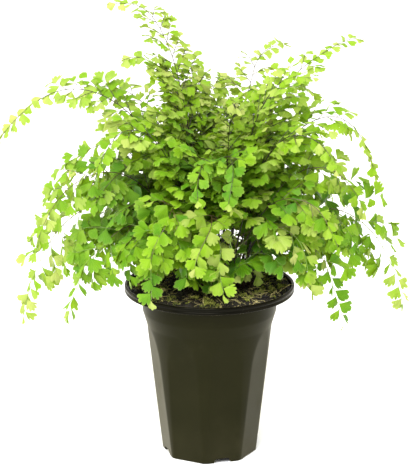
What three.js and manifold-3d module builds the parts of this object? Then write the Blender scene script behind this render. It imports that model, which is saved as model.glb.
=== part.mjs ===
// A maidenhair fern in a black plastic nursery pot.
// Millimetres, +Z up, origin at the centre of the pot's base, which stands on the plane z = 0.
// The viewer's side is -Y. Azimuths are in degrees from +X, towards +Y.
import * as THREE from "three";
import { mergeVertices } from "three/addons/utils/BufferGeometryUtils.js";
import Module from "manifold-3d";

const wasm = await Module();
wasm.setup();

// Pot: a round band, shelf and rim above eight flat facets, which end in arches below the band
const POT_HEIGHT = 124;
const WALL = 1.6;
const FLOOR = 2.2;
const BASE_RADIUS = 33.4;
const ARCH_RADIUS = 44.2;
const BAND_RADIUS = 47.2;
const NECK_RADIUS = 48.6;
const RIM_RADIUS = 60;
const RIM_DEPTH = 5.4;
const RIM_THICK = 2.2;
const SHELF_THICK = 1.6;
const EDGE_ROUND = 0.7;
const ARCH_FOOT_Z = 66;
const ARCH_TOP_Z = 95;
const BAND_Z = 105;
const FACETS = 8;
const FACET_TURN = -73;
const FACET_HALF_BASE = 20.6;
const FACET_HALF_ARCH = 16.8;
const RING_SIDES = 32;
const RIM_FOOT_Z = POT_HEIGHT - RIM_DEPTH;
const SHELF_Z = RIM_FOOT_Z + SHELF_THICK;
const OUTER_LEVELS = [0, ARCH_FOOT_Z, 80, 89, 93, ARCH_TOP_Z, BAND_Z, RIM_FOOT_Z];
const INNER_LEVELS = [FLOOR, ARCH_FOOT_Z, 82, ARCH_TOP_Z, SHELF_Z];

// Drainage notches under every second facet
const NOTCHES = 4;
const NOTCH_WIDTH = 13;
const NOTCH_HEIGHT = 3.4;
const NOTCH_REACH = 9;
const NOTCH_SHOULDER = 2.4;

// Soil, and the crown of rhizomes that the fronds grow from
const GAP = 0.35;
const SOIL_RADIUS = 56.4;
const SOIL_EDGE_Z = 121.9;
const SOIL_SHOULDER_RADIUS = 45;
const SOIL_CREST_RADIUS = 34;
const SOIL_RISE = 1.7;
const SOIL_UNEVENNESS = 1.4;
const CROWN_X = 5;
const CROWN_RADIUS = 28.5;
const CROWN_TOP = 126;
const CROWN_DEPTH = 15;
const CROWN_SIDES = 18;
const CROWN_UNEVENNESS = 1.2;
const STEM_FOOT_Z = 119;

// Fronds: a wiry stem, and a blade that starts part of the way up it
const STEM_WIDTH = 1.7;
const STEM_TIP_WIDTH = 1.1;
const STEM_THICK = 1.4;
const STEM_THINNING = 0.4;
const STIPE_STEPS = 3;
// Side growths roll about the stem by chance, and those of the fronds at the sides face the front too
const BLADE_ROLL = 26;
const FRONT_ROLL = 50;
// How far a frond's shoulder and tip sway to a side at most, as shares of twice its reach
const SHOULDER_SWAY = 0.2;
const TIP_SWAY = 0.6;
const BRANCH_ANGLE = 56;
const RIB_WIDTH = 1.2;
const RIB_DROOP = 0.0042;

// How a stem leaves its foot: outwards for each mm of foot radius and of rise, and upwards
const FOOT_SPREAD = 0.55;
const FOOT_LEAN = 0.06;
const FOOT_RISE = 0.72;

// Leaflets: fans, or wedges below a size. Corners lie at shares of the length.
const LEAFLET_LENGTH = 12.5;
const LEAFLET_WIDTH = 12;
const LEAFLET_ANGLE = 52;
const BLADE_THICK = 0.8;
const ROOT_EDGE = 1.9;
const FIRST_LEAFLET = 5;
const LEAFLET_PITCH = 6.8;
const END_PITCH = 6.8;
const TIP_SIZE = 0.76;
const WEDGE_SIZE = 0.87;
const FAN_CORNERS = [0.66, 0.7];
const WEDGE_CORNERS = [0.84, 0.9];
const CORNER_DROP = 0.5;
const FRONT_LIFT = 0.4;

// Room left round each leaflet, branch and stem
const CLEARANCE = 0.2;
const LEAFLET_ROOM = 1.05;
const RIB_ROOM_START = 1.4;
const LEAFLET_ROOM_START = 0.4;

// Each frond: azimuth of the tip, reach from the crown's axis, height of the tip,
// height that the arch aims for, and how far out the arch's shoulder is, as a share of the reach
const SPIRES = [
  [172, 76, 318, 328, 0.4],
  [14, 100, 296, 288, 0.52],
  [132, 54, 278, 284, 0.42],
  [-164, 62, 286, 296, 0.5],
  [-60, 46, 262, 282, 0.5],
  [-20, 72, 280, 286, 0.5],
  [52, 76, 284, 288, 0.5],
];
const ARCHES = [
  [178, 146, 240, 306, 0.66],
  [2, 108, 210, 286, 0.84],
  [-34, 98, 222, 270, 0.66],
  [-76, 84, 206, 262, 0.68],
  [-112, 90, 210, 258, 0.6],
  [-150, 102, 226, 274, 0.66],
  [145, 108, 246, 282, 0.66],
  [98, 92, 244, 282, 0.62],
  [48, 104, 240, 280, 0.66],
];
const SPRAYS = [
  [-168, 128, 168, 246, 0.74],
  [-12, 106, 186, 242, 0.72],
  [-46, 98, 168, 224, 0.74],
  [-84, 80, 160, 214, 0.74],
  [-120, 88, 164, 218, 0.74],
  [158, 120, 186, 246, 0.74],
  [118, 108, 178, 238, 0.74],
  [76, 104, 180, 238, 0.74],
  [26, 114, 184, 240, 0.74],
];
const SKIRTS = [
  [-170, 134, 100, 224, 0.82],
  [-146, 104, 112, 206, 0.84],
  [-122, 84, 134, 206, 0.9],
  [-98, 68, 138, 198, 0.86],
  [-50, 80, 134, 204, 0.9],
  [-37, 96, 110, 198, 0.8],
  [-8, 130, 110, 216, 0.82],
  [34, 116, 122, 202, 0.82],
  [100, 106, 122, 196, 0.82],
  [138, 112, 124, 200, 0.82],
];
const VEILS = [
  [-142, 78, 142, 196, 0.9],
  [-112, 62, 146, 194, 0.86],
  [-86, 58, 160, 184, 0.8],
  [-68, 66, 166, 190, 0.7],
  [-18, 82, 142, 200, 0.88],
  [22, 84, 146, 200, 0.88],
  [56, 78, 146, 196, 0.88],
  [116, 74, 146, 196, 0.88],
  [160, 84, 142, 200, 0.88],
];

// Side growths: shares of the blade on the right and on the left, leaflet pairs there, and size.
// One with no pairs is a single leaflet.
const LONG_BLADE = [
  [[0, 0.1], [1, 0], 0.98],
  [[0.24, 0.32], [1, 2], 1],
  [[0.5, 0.6], [1, 0], 0.92],
  [[0.78, 0.86], [0, 0], 0.84],
];
const SHORT_BLADE = [
  [[0.06, 0.15], [1, 0], 1],
  [[0.4, 0.49], [0, 1], 0.96],
  [[0.72, 0.81], [0, 0], 0.86],
];
// Name of the row, its fronds, the radius that they spring from, the size of their leaflets,
// the share of the stem's length where the blade starts, and the growths on the blade
const ROWS = [
  ["spire", SPIRES, 6, 0.86, 0.46, LONG_BLADE],
  ["arch", ARCHES, 11, 0.92, 0.4, LONG_BLADE],
  ["spray", SPRAYS, 15.6, 1, 0.36, LONG_BLADE],
  ["skirt", SKIRTS, 20, 1, 0.32, SHORT_BLADE],
  ["veil", VEILS, 24.4, 1, 0.34, SHORT_BLADE],
];
const KEYS_PER_ROW = 20;
// Turns that a branch or a leaflet tries, until it crosses nothing
const BRANCH_BENDS = [0, 14, -14, 28, -28];
const LEAFLET_ROLLS = [0, 22, -22];

const UP = new THREE.Vector3(0, 0, 1);
const degrees = THREE.MathUtils.degToRad;
// Half a ring's step, which makes all its steps alike
const ROUND_HALF = 180 / RING_SIDES;

// A number from 0 to 1 that is always the same for the same pair
function draw(a, b) {
  const mixed = Math.imul(a + 1, 73856093) ^ Math.imul(b + 1, 19349663);
  return (Math.imul(mixed, 2654435761) >>> 0) / 2 ** 32;
}

function point(x, y, z) {
  return new THREE.Vector3(x, y, z);
}

function outward(azimuth) {
  return point(Math.cos(degrees(azimuth)), Math.sin(degrees(azimuth)), 0);
}

// a + b * k + c * m, as a new vector
function mix(a, b, k, c = UP, m = 0) {
  return a.clone().addScaledVector(b, k).addScaledVector(c, m);
}

function solid(geometry) {
  const bare = geometry.clone();
  bare.deleteAttribute("normal");
  bare.deleteAttribute("uv");
  const merged = mergeVertices(bare, 1e-4);
  return new wasm.Manifold(
    new wasm.Mesh({
      numProp: 3,
      vertProperties: merged.attributes.position.array,
      triVerts: new Uint32Array(merged.index.array),
    }),
  );
}

function geometryOf(manifold) {
  const mesh = manifold.getMesh();
  const geometry = new THREE.BufferGeometry();
  geometry.setAttribute("position", new THREE.BufferAttribute(new Float32Array(mesh.vertProperties), 3));
  geometry.setIndex(new THREE.BufferAttribute(new Uint32Array(mesh.triVerts), 1));
  geometry.computeVertexNormals();
  return geometry;
}

function geometryFrom(points, faces) {
  const geometry = new THREE.BufferGeometry().setFromPoints(points);
  geometry.setIndex(faces.flat());
  geometry.computeVertexNormals();
  return geometry;
}

// A closed body through rings of equal length, fanned shut at both ends.
// The rings run anticlockwise from above, and from the bottom of the outside up.
function ringBody(rings) {
  const sides = rings[0].length;
  const faces = [];
  rings.slice(1).forEach((_, row) => {
    for (let i = 0; i < sides; i += 1) {
      const j = (i + 1) % sides;
      const low = row * sides;
      const high = low + sides;
      faces.push([low + i, low + j, high + j], [low + i, high + j, high + i]);
    }
  });
  const last = (rings.length - 1) * sides;
  for (let i = 1; i < sides - 1; i += 1) {
    faces.push([0, i + 1, i], [last, last + i, last + i + 1]);
  }
  return geometryFrom(rings.flat(), faces);
}

// Half the angle that a facet covers at height z
function facetHalf(z) {
  if (z <= ARCH_FOOT_Z) {
    return FACET_HALF_BASE + ((FACET_HALF_ARCH - FACET_HALF_BASE) * z) / ARCH_FOOT_Z;
  }
  const share = (z - ARCH_FOOT_Z) / (ARCH_TOP_Z - ARCH_FOOT_Z);
  return Math.max(ROUND_HALF, FACET_HALF_ARCH * Math.sqrt(Math.max(0, 1 - share * share)));
}

function bodyRadius(z) {
  const stops = [
    [0, BASE_RADIUS],
    [ARCH_TOP_Z, ARCH_RADIUS],
    [BAND_Z, BAND_RADIUS],
    [RIM_FOOT_Z, NECK_RADIUS],
    [POT_HEIGHT, NECK_RADIUS],
  ];
  const next = Math.max(1, stops.findIndex(([height]) => height >= z));
  const [lowZ, lowR] = stops[next - 1];
  const [highZ, highR] = stops[next];
  return lowR + ((highR - lowR) * (z - lowZ)) / (highZ - lowZ);
}

// One ring of the pot: two corners for each facet, and evenly spaced points between facets
function potRing(z, radius, half = facetHalf(z)) {
  const between = RING_SIDES / FACETS - 2;
  const turn = 360 / FACETS;
  const ring = [];
  for (let facet = 0; facet < FACETS; facet += 1) {
    const centre = FACET_TURN + facet * turn;
    const step = (turn - 2 * half) / (between + 1);
    ring.push(mix(point(0, 0, z), outward(centre - half), radius));
    for (let i = 0; i <= between; i += 1) {
      ring.push(mix(point(0, 0, z), outward(centre + half + i * step), radius));
    }
  }
  return ring;
}

function roundRing(z, radius) {
  return potRing(z, radius, ROUND_HALF);
}

function notchCutter(azimuth) {
  const shape = new THREE.Shape();
  const half = NOTCH_WIDTH / 2;
  const crest = half - NOTCH_SHOULDER;
  shape.moveTo(-half, -NOTCH_HEIGHT);
  shape.lineTo(half, -NOTCH_HEIGHT);
  shape.quadraticCurveTo(half, NOTCH_HEIGHT, crest, NOTCH_HEIGHT);
  shape.lineTo(-crest, NOTCH_HEIGHT);
  shape.quadraticCurveTo(-half, NOTCH_HEIGHT, -half, -NOTCH_HEIGHT);
  const options = { depth: NOTCH_REACH * 2, bevelEnabled: false, curveSegments: 4 };
  const cutter = new THREE.ExtrudeGeometry(shape, options);
  cutter.rotateX(Math.PI / 2);
  cutter.rotateZ(degrees(azimuth - 90));
  const start = mix(point(0, 0, 0), outward(azimuth), BASE_RADIUS + NOTCH_REACH);
  return cutter.translate(start.x, start.y, 0);
}

function pot() {
  const outside = OUTER_LEVELS.map((z) => potRing(z, bodyRadius(z)));
  const rim = [
    roundRing(RIM_FOOT_Z, RIM_RADIUS - EDGE_ROUND),
    roundRing(RIM_FOOT_Z + EDGE_ROUND, RIM_RADIUS),
    roundRing(POT_HEIGHT - EDGE_ROUND, RIM_RADIUS),
    roundRing(POT_HEIGHT, RIM_RADIUS - EDGE_ROUND),
    roundRing(POT_HEIGHT, RIM_RADIUS - RIM_THICK),
    roundRing(SHELF_Z, RIM_RADIUS - RIM_THICK),
  ];
  const inside = [...INNER_LEVELS].reverse().map((z) => potRing(z, bodyRadius(z) - WALL));
  let body = solid(ringBody([...outside, ...rim, ...inside]));
  for (let i = 0; i < NOTCHES; i += 1) {
    body = body.subtract(solid(notchCutter(FACET_TURN + (i * 360) / NOTCHES)));
  }
  return body;
}

// Adds to the height of each point of a ring, the same way each time for a key
function roughen(ring, unevenness, key) {
  ring.forEach((p, i) => {
    p.z += unevenness * (draw(i, key) - 0.5);
  });
  return ring;
}

function crownRing(z, radius) {
  const centre = point(CROWN_X, 0, z);
  return Array.from({ length: CROWN_SIDES }, (_, i) => mix(centre, outward((i * 360) / CROWN_SIDES), radius));
}

// The soil follows the pot's inside, a gap away from it, and spreads over its shelf, with a domed
// and uneven top and a recess that the crown sits in
function soil() {
  const levels = [FLOOR + GAP, ...INNER_LEVELS.slice(1)];
  const sides = levels.map((z) => potRing(z, bodyRadius(z) - WALL - GAP));
  const top = [
    roundRing(SHELF_Z + GAP, NECK_RADIUS - WALL - GAP),
    roundRing(SHELF_Z + GAP, SOIL_RADIUS),
    roundRing(SOIL_EDGE_Z, SOIL_RADIUS),
    roughen(roundRing(SOIL_EDGE_Z + SOIL_RISE / 2, SOIL_SHOULDER_RADIUS), SOIL_UNEVENNESS, 1),
    roughen(roundRing(SOIL_EDGE_Z + SOIL_RISE, SOIL_CREST_RADIUS), SOIL_UNEVENNESS, 2),
  ];
  const bottom = CROWN_TOP - CROWN_DEPTH - GAP;
  const recess = [bottom, bottom + 2 * CROWN_DEPTH].map((z) => crownRing(z, CROWN_RADIUS + GAP));
  return solid(ringBody([...sides, ...top])).subtract(solid(ringBody(recess)));
}

// The crown of rhizomes: a lumpy cushion sunk in the soil
function crownCushion() {
  const bottom = CROWN_TOP - CROWN_DEPTH;
  return solid(
    ringBody([
      crownRing(bottom, CROWN_RADIUS * 0.88),
      crownRing(bottom + 4, CROWN_RADIUS),
      crownRing(CROWN_TOP - 4, CROWN_RADIUS),
      roughen(crownRing(CROWN_TOP - 1.5, CROWN_RADIUS * 0.86), CROWN_UNEVENNESS, 3),
      roughen(crownRing(CROWN_TOP - 0.5, CROWN_RADIUS * 0.5), CROWN_UNEVENNESS, 4),
    ]),
  );
}

// A sheet of triangles with a normal and a thickness at each point, which close() makes a solid
class Sheet {
  constructor() {
    this.points = [];
    this.faces = [];
  }

  add(place, normal, thick = BLADE_THICK) {
    this.points.push({ place, normal, thick });
    return this.points.length - 1;
  }

  // Both edge points of a strip: the right one, then the left one
  addPair({ place, right, normal }, width) {
    return [width / 2, -width / 2].map((offset) => this.add(mix(place, right, offset), normal));
  }

  face(a, b, c) {
    this.faces.push([a, b, c]);
  }

  // Fills the strip between a right and a left row of points, each with how far along it is,
  // by stepping along whichever row is behind
  fill([right, left]) {
    let i = 0;
    let j = 0;
    while (i < right.length - 1 || j < left.length - 1) {
      const rightNext = i < right.length - 1 ? right[i + 1].at : Infinity;
      const leftNext = j < left.length - 1 ? left[j + 1].at : Infinity;
      if (rightNext <= leftNext) {
        this.face(right[i].id, right[i + 1].id, left[j].id);
        i += 1;
      } else {
        this.face(right[i].id, left[j + 1].id, left[j].id);
        j += 1;
      }
    }
  }

  close(extra = 0) {
    const count = this.points.length;
    const layer = (sign) =>
      this.points.map(({ place, normal, thick }) => mix(place, normal, sign * (thick / 2 + extra)));
    const faces = [];
    const open = new Map();
    this.faces.forEach(([a, b, c]) => {
      faces.push([a, b, c], [count + a, count + c, count + b]);
      const edges = [[a, b], [b, c], [c, a]];
      edges.forEach(([from, to]) => {
        if (!open.delete(`${to},${from}`)) open.set(`${from},${to}`, [from, to]);
      });
    });
    open.forEach(([from, to]) => {
      faces.push([from, count + from, count + to], [from, count + to, to]);
    });
    return geometryFrom([...layer(1), ...layer(-1)], faces);
  }
}

// A frame is a place with three directions: along, to the right, and the normal that faces up.
// This one turns to the right about its normal.
function turned(frame, angle) {
  const spin = (v) => v.clone().applyAxisAngle(frame.normal, -degrees(angle));
  return { ...frame, along: spin(frame.along), right: spin(frame.right) };
}

// This one rolls about its own line
function rolled(frame, angle) {
  const spin = (v) => v.clone().applyAxisAngle(frame.along, degrees(angle));
  return { ...frame, right: spin(frame.right), normal: spin(frame.normal) };
}

// A fan-shaped leaflet on a root edge of the sheet, from its right end to its left end.
// A small one is a wedge, with no middle point on its front edge.
function addLeaflet(sheet, from, to, { place, along, right, normal, size }) {
  const length = LEAFLET_LENGTH * size;
  const half = (LEAFLET_WIDTH * size) / 2;
  const isFan = size > WEDGE_SIZE;
  const [near, far] = (isFan ? FAN_CORNERS : WEDGE_CORNERS).map((share, i) => {
    const edge = mix(place, along, length * share, normal, -CORNER_DROP);
    return sheet.add(mix(edge, right, i ? -half : half), normal);
  });
  if (isFan) {
    const front = sheet.add(mix(place, along, length, normal, FRONT_LIFT), normal);
    sheet.face(from, near, front);
    sheet.face(from, front, to);
    sheet.face(to, front, far);
  } else {
    sheet.face(from, near, far);
    sheet.face(from, far, to);
  }
}

// The space that a leaflet needs, from just off its root
function leafletSpace(leaf) {
  const sheet = new Sheet();
  const place = mix(leaf.place, leaf.along, LEAFLET_ROOM_START);
  const [from, to] = sheet.addPair({ ...leaf, place }, ROOT_EDGE);
  addLeaflet(sheet, from, to, { ...leaf, size: leaf.size * LEAFLET_ROOM });
  return solid(sheet.close(CLEARANCE));
}

// The space that a branch's rib needs
function ribSpace(frames) {
  const sheet = new Sheet();
  const pairs = frames.map((frame) => sheet.addPair(frame, RIB_WIDTH + 2 * CLEARANCE));
  sheet.fill([0, 1].map((side) => pairs.map((pair, at) => ({ id: pair[side], at }))));
  return solid(sheet.close(CLEARANCE));
}

// What already has its place, so that nothing else grows through it
const taken = [];

function space(body, stem = null) {
  const { min, max } = body.boundingBox();
  return { body, stem, box: new THREE.Box3(point(...min), point(...max)) };
}

// Whether a space meets nothing, apart from the stem that the piece roots on, if it is named
function isClear({ body, box }, ownStem = "none", siblings = []) {
  return ![...siblings, ...taken].some((other) => {
    if (other.stem === ownStem || !other.box.intersectsBox(box)) return false;
    const shared = other.body.intersect(body);
    const meets = !shared.isEmpty();
    shared.delete();
    return meets;
  });
}

// The curve of a frond's stem, with a frame at each share of its length
class Spine {
  constructor([azimuth, reach, tipZ, archZ, shoulder], footRadius, bladeStart, growths, key) {
    this.bladeStart = bladeStart;
    this.growths = growths;
    const axis = point(CROWN_X, 0, 0);
    this.out = outward(azimuth);
    const foot = mix(axis, this.out, footRadius, UP, STEM_FOOT_Z);
    const rise = archZ - STEM_FOOT_Z;
    const side = new THREE.Vector3().crossVectors(UP, this.out);
    const sway = reach * (draw(key, 3) - 0.5);
    this.curve = new THREE.CubicBezierCurve3(
      foot,
      mix(foot, this.out, footRadius * FOOT_SPREAD + rise * FOOT_LEAN, UP, rise * FOOT_RISE),
      mix(axis, this.out, reach * shoulder, UP, archZ).addScaledVector(side, sway * SHOULDER_SWAY),
      mix(axis, this.out, reach, UP, tipZ).addScaledVector(side, sway * TIP_SWAY),
    );
    this.roll = FRONT_ROLL * Math.cos(degrees(azimuth)) + BLADE_ROLL * (draw(key, 1) - 0.5);
    this.length = this.curve.getLength();
  }

  at(share) {
    const place = this.curve.getPointAt(share);
    const along = this.curve.getTangentAt(share);
    const right = new THREE.Vector3().crossVectors(this.out, UP);
    const normal = new THREE.Vector3().crossVectors(right, along);
    return { place, along, right, normal };
  }

  // The shares of the right and of the left edge points, from the foot to the tip
  stations() {
    const stipe = Array.from({ length: STIPE_STEPS }, (_, i) => (this.bladeStart * i) / STIPE_STEPS);
    const half = ROOT_EDGE / 2 / this.length;
    const roots = this.growths.flatMap(([shares]) => [
      shares.map((share) => this.bladeShare(share) - half),
      shares.map((share) => this.bladeShare(share) + half),
    ]);
    return [...stipe.map((share) => [share, share]), ...roots, [1, 1]];
  }

  bladeShare(share) {
    return this.bladeStart + (1 - this.bladeStart) * share;
  }

  // Width and thickness at a share of the length: as thick as the leaflets well before the tip
  sizeAt(share) {
    const thinning = THREE.MathUtils.clamp((share - this.bladeStart) / STEM_THINNING, 0, 1);
    return [
      THREE.MathUtils.lerp(STEM_WIDTH, STEM_TIP_WIDTH, share),
      THREE.MathUtils.lerp(STEM_THICK, BLADE_THICK, thinning),
    ];
  }

  // Draws the stem as a strip on a sheet, and gives the points of its right and of its left edge
  draw(sheet, extra = 0) {
    const stations = this.stations();
    const rows = [1, -1].map((hand, side) =>
      stations.map((shares) => {
        const at = shares[side];
        const { place, right, normal } = this.at(at);
        const [width, thick] = this.sizeAt(at);
        return { id: sheet.add(mix(place, right, hand * (width / 2 + extra)), normal, thick), at };
      }),
    );
    sheet.fill(rows);
    return rows;
  }

  space() {
    const sheet = new Sheet();
    const rows = this.draw(sheet, CLEARANCE);
    rows.forEach(([{ id }]) => sheet.points[id].place.addScaledVector(UP, -CLEARANCE));
    return solid(sheet.close(CLEARANCE));
  }
}

// The first roll of a leaflet that crosses nothing, or null
function firstClear(frame, size, ownStem, siblings) {
  for (const roll of LEAFLET_ROLLS) {
    const leaf = { ...rolled(frame, roll), size };
    const room = space(leafletSpace(leaf));
    if (isClear(room, ownStem, siblings)) return { leaf, room };
    room.body.delete();
  }
  return null;
}

// Plans a side branch from a frame at its root: its rib, and the leaflets that find room.
// With no pairs it is one leaflet on the stem itself. The stem's foot is on its right where basal is 1,
// and on its left where basal is -1.
function planBranch(start, pairs, size, basal, owner) {
  const rib = (x) => {
    const place = mix(start.place, start.along, x, start.normal, -RIB_DROOP * x * x);
    return { ...start, place };
  };
  if (pairs === 0) {
    const tip = firstClear(start, size, owner);
    return { start, rib, leaves: [], tip, end: 0, rooms: tip ? [tip.room] : [], score: tip ? 1 : 0 };
  }
  const places = Array.from({ length: 2 * pairs }, (_, k) => size * (FIRST_LEAFLET + LEAFLET_PITCH * k));
  let end = places.at(-1) + END_PITCH * size;
  const ribRoom = space(ribSpace([rib(RIB_ROOM_START), rib(end / 2), rib(end)]));
  if (!isClear(ribRoom, owner)) return { score: 0 };
  const leaves = [];
  const rooms = [];
  places.forEach((at, k) => {
    const hand = k % 2 ? -basal : basal;
    const edge = rib(at);
    edge.place.addScaledVector(start.right, (hand * RIB_WIDTH) / 2);
    const found = firstClear(turned(edge, hand * LEAFLET_ANGLE), size, undefined, rooms);
    if (found) {
      leaves.push({ ...found, at, hand });
      rooms.push(found.room);
    }
  });
  const tip = firstClear(rib(end), size, undefined, rooms);
  if (tip) rooms.push(tip.room);
  else end = leaves.length ? leaves.at(-1).at + ROOT_EDGE : 0;
  return { start, rib, leaves, tip, end, rooms: [...rooms, ribRoom], score: rooms.length };
}

function planGrowth(spine, share, side, pairs, size, owner) {
  const stem = spine.at(share);
  const [width] = spine.sizeAt(share);
  let best = { score: 0 };
  for (const bend of BRANCH_BENDS) {
    const edge = { ...stem, place: mix(stem.place, stem.right, (side * width) / 2) };
    const start = turned(rolled(edge, spine.roll + bend), side * BRANCH_ANGLE);
    const plan = planBranch(start, pairs, size, side, owner);
    if (plan.score > best.score) best = plan;
    if (best.score === 2 * pairs + 1) break;
  }
  if (best.score === 0) return pairs ? planGrowth(spine, share, side, 0, size, owner) : null;
  taken.push(...best.rooms);
  return best;
}

// Draws a planned branch on the sheet, on a root edge from its right end to its left end
function addBranch(sheet, from, to, { start, rib, leaves, tip, end }) {
  const rows = [from, to].map((id) => [{ id, at: 0 }]);
  const edgePoint = (at, hand) => {
    const { place } = rib(at);
    return { id: sheet.add(place.addScaledVector(start.right, (hand * RIB_WIDTH) / 2), start.normal), at };
  };
  leaves.forEach(({ leaf, at, hand }) => {
    const [low, high] = [-0.5, 0.5].map((k) => edgePoint(at + k * ROOT_EDGE, hand));
    rows[hand > 0 ? 0 : 1].push(low, high);
    if (hand > 0) addLeaflet(sheet, low.id, high.id, leaf);
    else addLeaflet(sheet, high.id, low.id, leaf);
  });
  if (end > 0) rows.forEach((row, i) => row.push(edgePoint(end, i ? -1 : 1)));
  sheet.fill(rows);
  if (tip) addLeaflet(sheet, rows[0].at(-1).id, rows[1].at(-1).id, tip.leaf);
}

// Draws a planned frond as one sheet: the stem as a strip, its side growths, and the end leaflet
function drawFrond({ spine, plans, tip }) {
  const sheet = new Sheet();
  const rows = spine.draw(sheet).map((row) => row.map(({ id }) => id));
  const [right, left] = rows;
  plans.forEach(([rightPlan, leftPlan], i) => {
    const low = STIPE_STEPS + 2 * i;
    if (rightPlan) addBranch(sheet, right[low], right[low + 1], rightPlan);
    if (leftPlan) addBranch(sheet, left[low + 1], left[low], leftPlan);
  });
  if (tip) addLeaflet(sheet, right.at(-1), left.at(-1), tip.leaf);
  return sheet.close();
}

const potBody = pot();
const soilBody = soil();
let crownBody = crownCushion();

const fronds = ROWS.flatMap(([rowName, list, footRadius, size, bladeStart, growths], row) =>
  list.map((shape, i) => {
    const key = row * KEYS_PER_ROW + i;
    return {
      name: `frond_${rowName}_${String(i + 1).padStart(2, "0")}`,
      spine: new Spine(shape, footRadius, bladeStart, growths, key),
      size,
      isMirrored: draw(key, 2) < 0.5,
      plans: [],
    };
  }),
);

// All stems come first, each in a hole in the crown, then the growths from the tips down to the feet
fronds.forEach(({ spine, name }) => {
  const room = space(spine.space(), name);
  crownBody = crownBody.subtract(room.body);
  taken.push(room);
});
[potBody, soilBody, crownBody].forEach((body) => taken.push(space(body)));

fronds.forEach((frond) => {
  frond.tip = firstClear(frond.spine.at(1), frond.size * TIP_SIZE, frond.name);
  if (frond.tip) taken.push(frond.tip.room);
});
for (let i = LONG_BLADE.length - 1; i >= 0; i -= 1) {
  fronds.forEach(({ name, spine, size, isMirrored, plans }) => {
    if (i >= spine.growths.length) return;
    const [shares, pairs, growthSize] = spine.growths[i];
    plans[i] = shares.map((share, hand) => {
      const count = pairs[isMirrored ? 1 - hand : hand];
      return planGrowth(spine, spine.bladeShare(share), hand ? -1 : 1, count, size * growthSize, name);
    });
  });
}

const root = new THREE.Group();

function place(name, geometry, color, roughness) {
  const mesh = new THREE.Mesh(geometry, new THREE.MeshStandardMaterial({ color, roughness, metalness: 0 }));
  mesh.name = name;
  root.add(mesh);
}

place("pot", geometryOf(potBody), 0x35342a, 0.45);
place("soil", geometryOf(soilBody), 0x1d1510, 0.95);
place("crown", geometryOf(crownBody), 0x2a1a10, 0.9);
fronds.forEach((frond) => place(frond.name, drawFrond(frond), 0x6fae2a, 0.55));

export default root;
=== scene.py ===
"""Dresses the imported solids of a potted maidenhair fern: pot, potting soil, crown and fronds.

Lengths inside the making functions are millimetres, and meshes are scaled to metres when they
are built. +Z is up, the viewer's side is -Y, and azimuths are degrees from +X towards +Y.
"""

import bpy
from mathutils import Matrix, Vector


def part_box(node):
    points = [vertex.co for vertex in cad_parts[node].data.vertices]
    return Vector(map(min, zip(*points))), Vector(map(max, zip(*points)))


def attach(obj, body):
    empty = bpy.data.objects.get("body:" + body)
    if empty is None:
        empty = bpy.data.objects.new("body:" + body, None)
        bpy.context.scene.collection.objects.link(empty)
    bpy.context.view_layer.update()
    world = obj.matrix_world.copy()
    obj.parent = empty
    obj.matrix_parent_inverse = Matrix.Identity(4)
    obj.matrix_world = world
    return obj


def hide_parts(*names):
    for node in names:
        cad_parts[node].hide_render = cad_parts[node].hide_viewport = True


bl_info = {
    "name": "Potted maidenhair fern",
    "version": (1, 0, 0),
    "blender": (4, 5, 0),
    "location": "View3D > Sidebar > Fern",
    "description": "Makes the visible pieces of a maidenhair fern in a plastic nursery pot",
    "category": "Object",
}

import math
from collections import namedtuple

import bpy
import numpy as np

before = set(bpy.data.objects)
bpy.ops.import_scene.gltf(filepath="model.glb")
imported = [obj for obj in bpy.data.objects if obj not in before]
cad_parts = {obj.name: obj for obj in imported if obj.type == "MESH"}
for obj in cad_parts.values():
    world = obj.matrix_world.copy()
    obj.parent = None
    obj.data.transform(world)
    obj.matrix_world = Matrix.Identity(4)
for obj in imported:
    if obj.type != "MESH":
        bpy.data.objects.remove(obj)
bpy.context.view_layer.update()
MM = 0.001
UP = np.array([0.0, 0.0, 1.0])
WHITE = (1.0, 1.0, 1.0, 1.0)


def packed_box(node):
    """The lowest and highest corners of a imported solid, in mm, to a hundredth."""
    return np.round(np.array(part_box(node)) / MM, 2)


POT_LOW, POT_HIGH = packed_box("pot")
SOIL_LOW, SOIL_HIGH = packed_box("soil")
CROWN_LOW, CROWN_HIGH = packed_box("crown")

# Pot: a round band, shelf and rim above eight flat facets, which end in arches below the band
POT_HEIGHT = POT_HIGH[2]
WALL = 1.6
FLOOR = 2.2
BASE_RADIUS = 33.4
ARCH_RADIUS = 44.2
BAND_RADIUS = 47.2
NECK_RADIUS = 48.6
RIM_RADIUS = POT_HIGH[0]
RIM_DEPTH = 5.4
RIM_THICK = 2.2
SHELF_THICK = 1.6
RIM_FOOT_Z = POT_HEIGHT - RIM_DEPTH
SHELF_Z = RIM_FOOT_Z + SHELF_THICK
ARCH_FOOT_Z = 66.0
ARCH_TOP_Z = 95.0
BAND_Z = 105.0
FACETS = 8
FACET_TURN = -73.0
FACET_HALF_BASE = 20.6
FACET_HALF_ARCH = 16.8
CORNER_SOFTNESS = 0.12
POT_SHARP_ANGLE = 50.0
NOTCHES = 4
NOTCH_WIDTH = 13.0
NOTCH_HEIGHT = 3.4
NOTCH_REACH = 9.0
NOTCH_SHOULDER = 2.4
# Points round the pot, the soil and the crown, and the radius of the ring next to a surface's middle
POT_COLUMNS = 320
SOIL_COLUMNS = 288
CROWN_COLUMNS = 160
MIDDLE_RING = 8.0

# Soil, and the crown of rhizomes that the fronds grow from
GAP = SOIL_LOW[2] - FLOOR
SOIL_RADIUS = SOIL_HIGH[0]
SOIL_EDGE_Z = 121.9
SOIL_RISE = 1.7
CROWN_X = (CROWN_HIGH[0] + CROWN_LOW[0]) / 2
CROWN_RADIUS = (CROWN_HIGH[0] - CROWN_LOW[0]) / 2
CROWN_DEPTH = 15.0
CROWN_TOP = CROWN_LOW[2] + CROWN_DEPTH
STEM_FOOT_Z = 119.0

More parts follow.
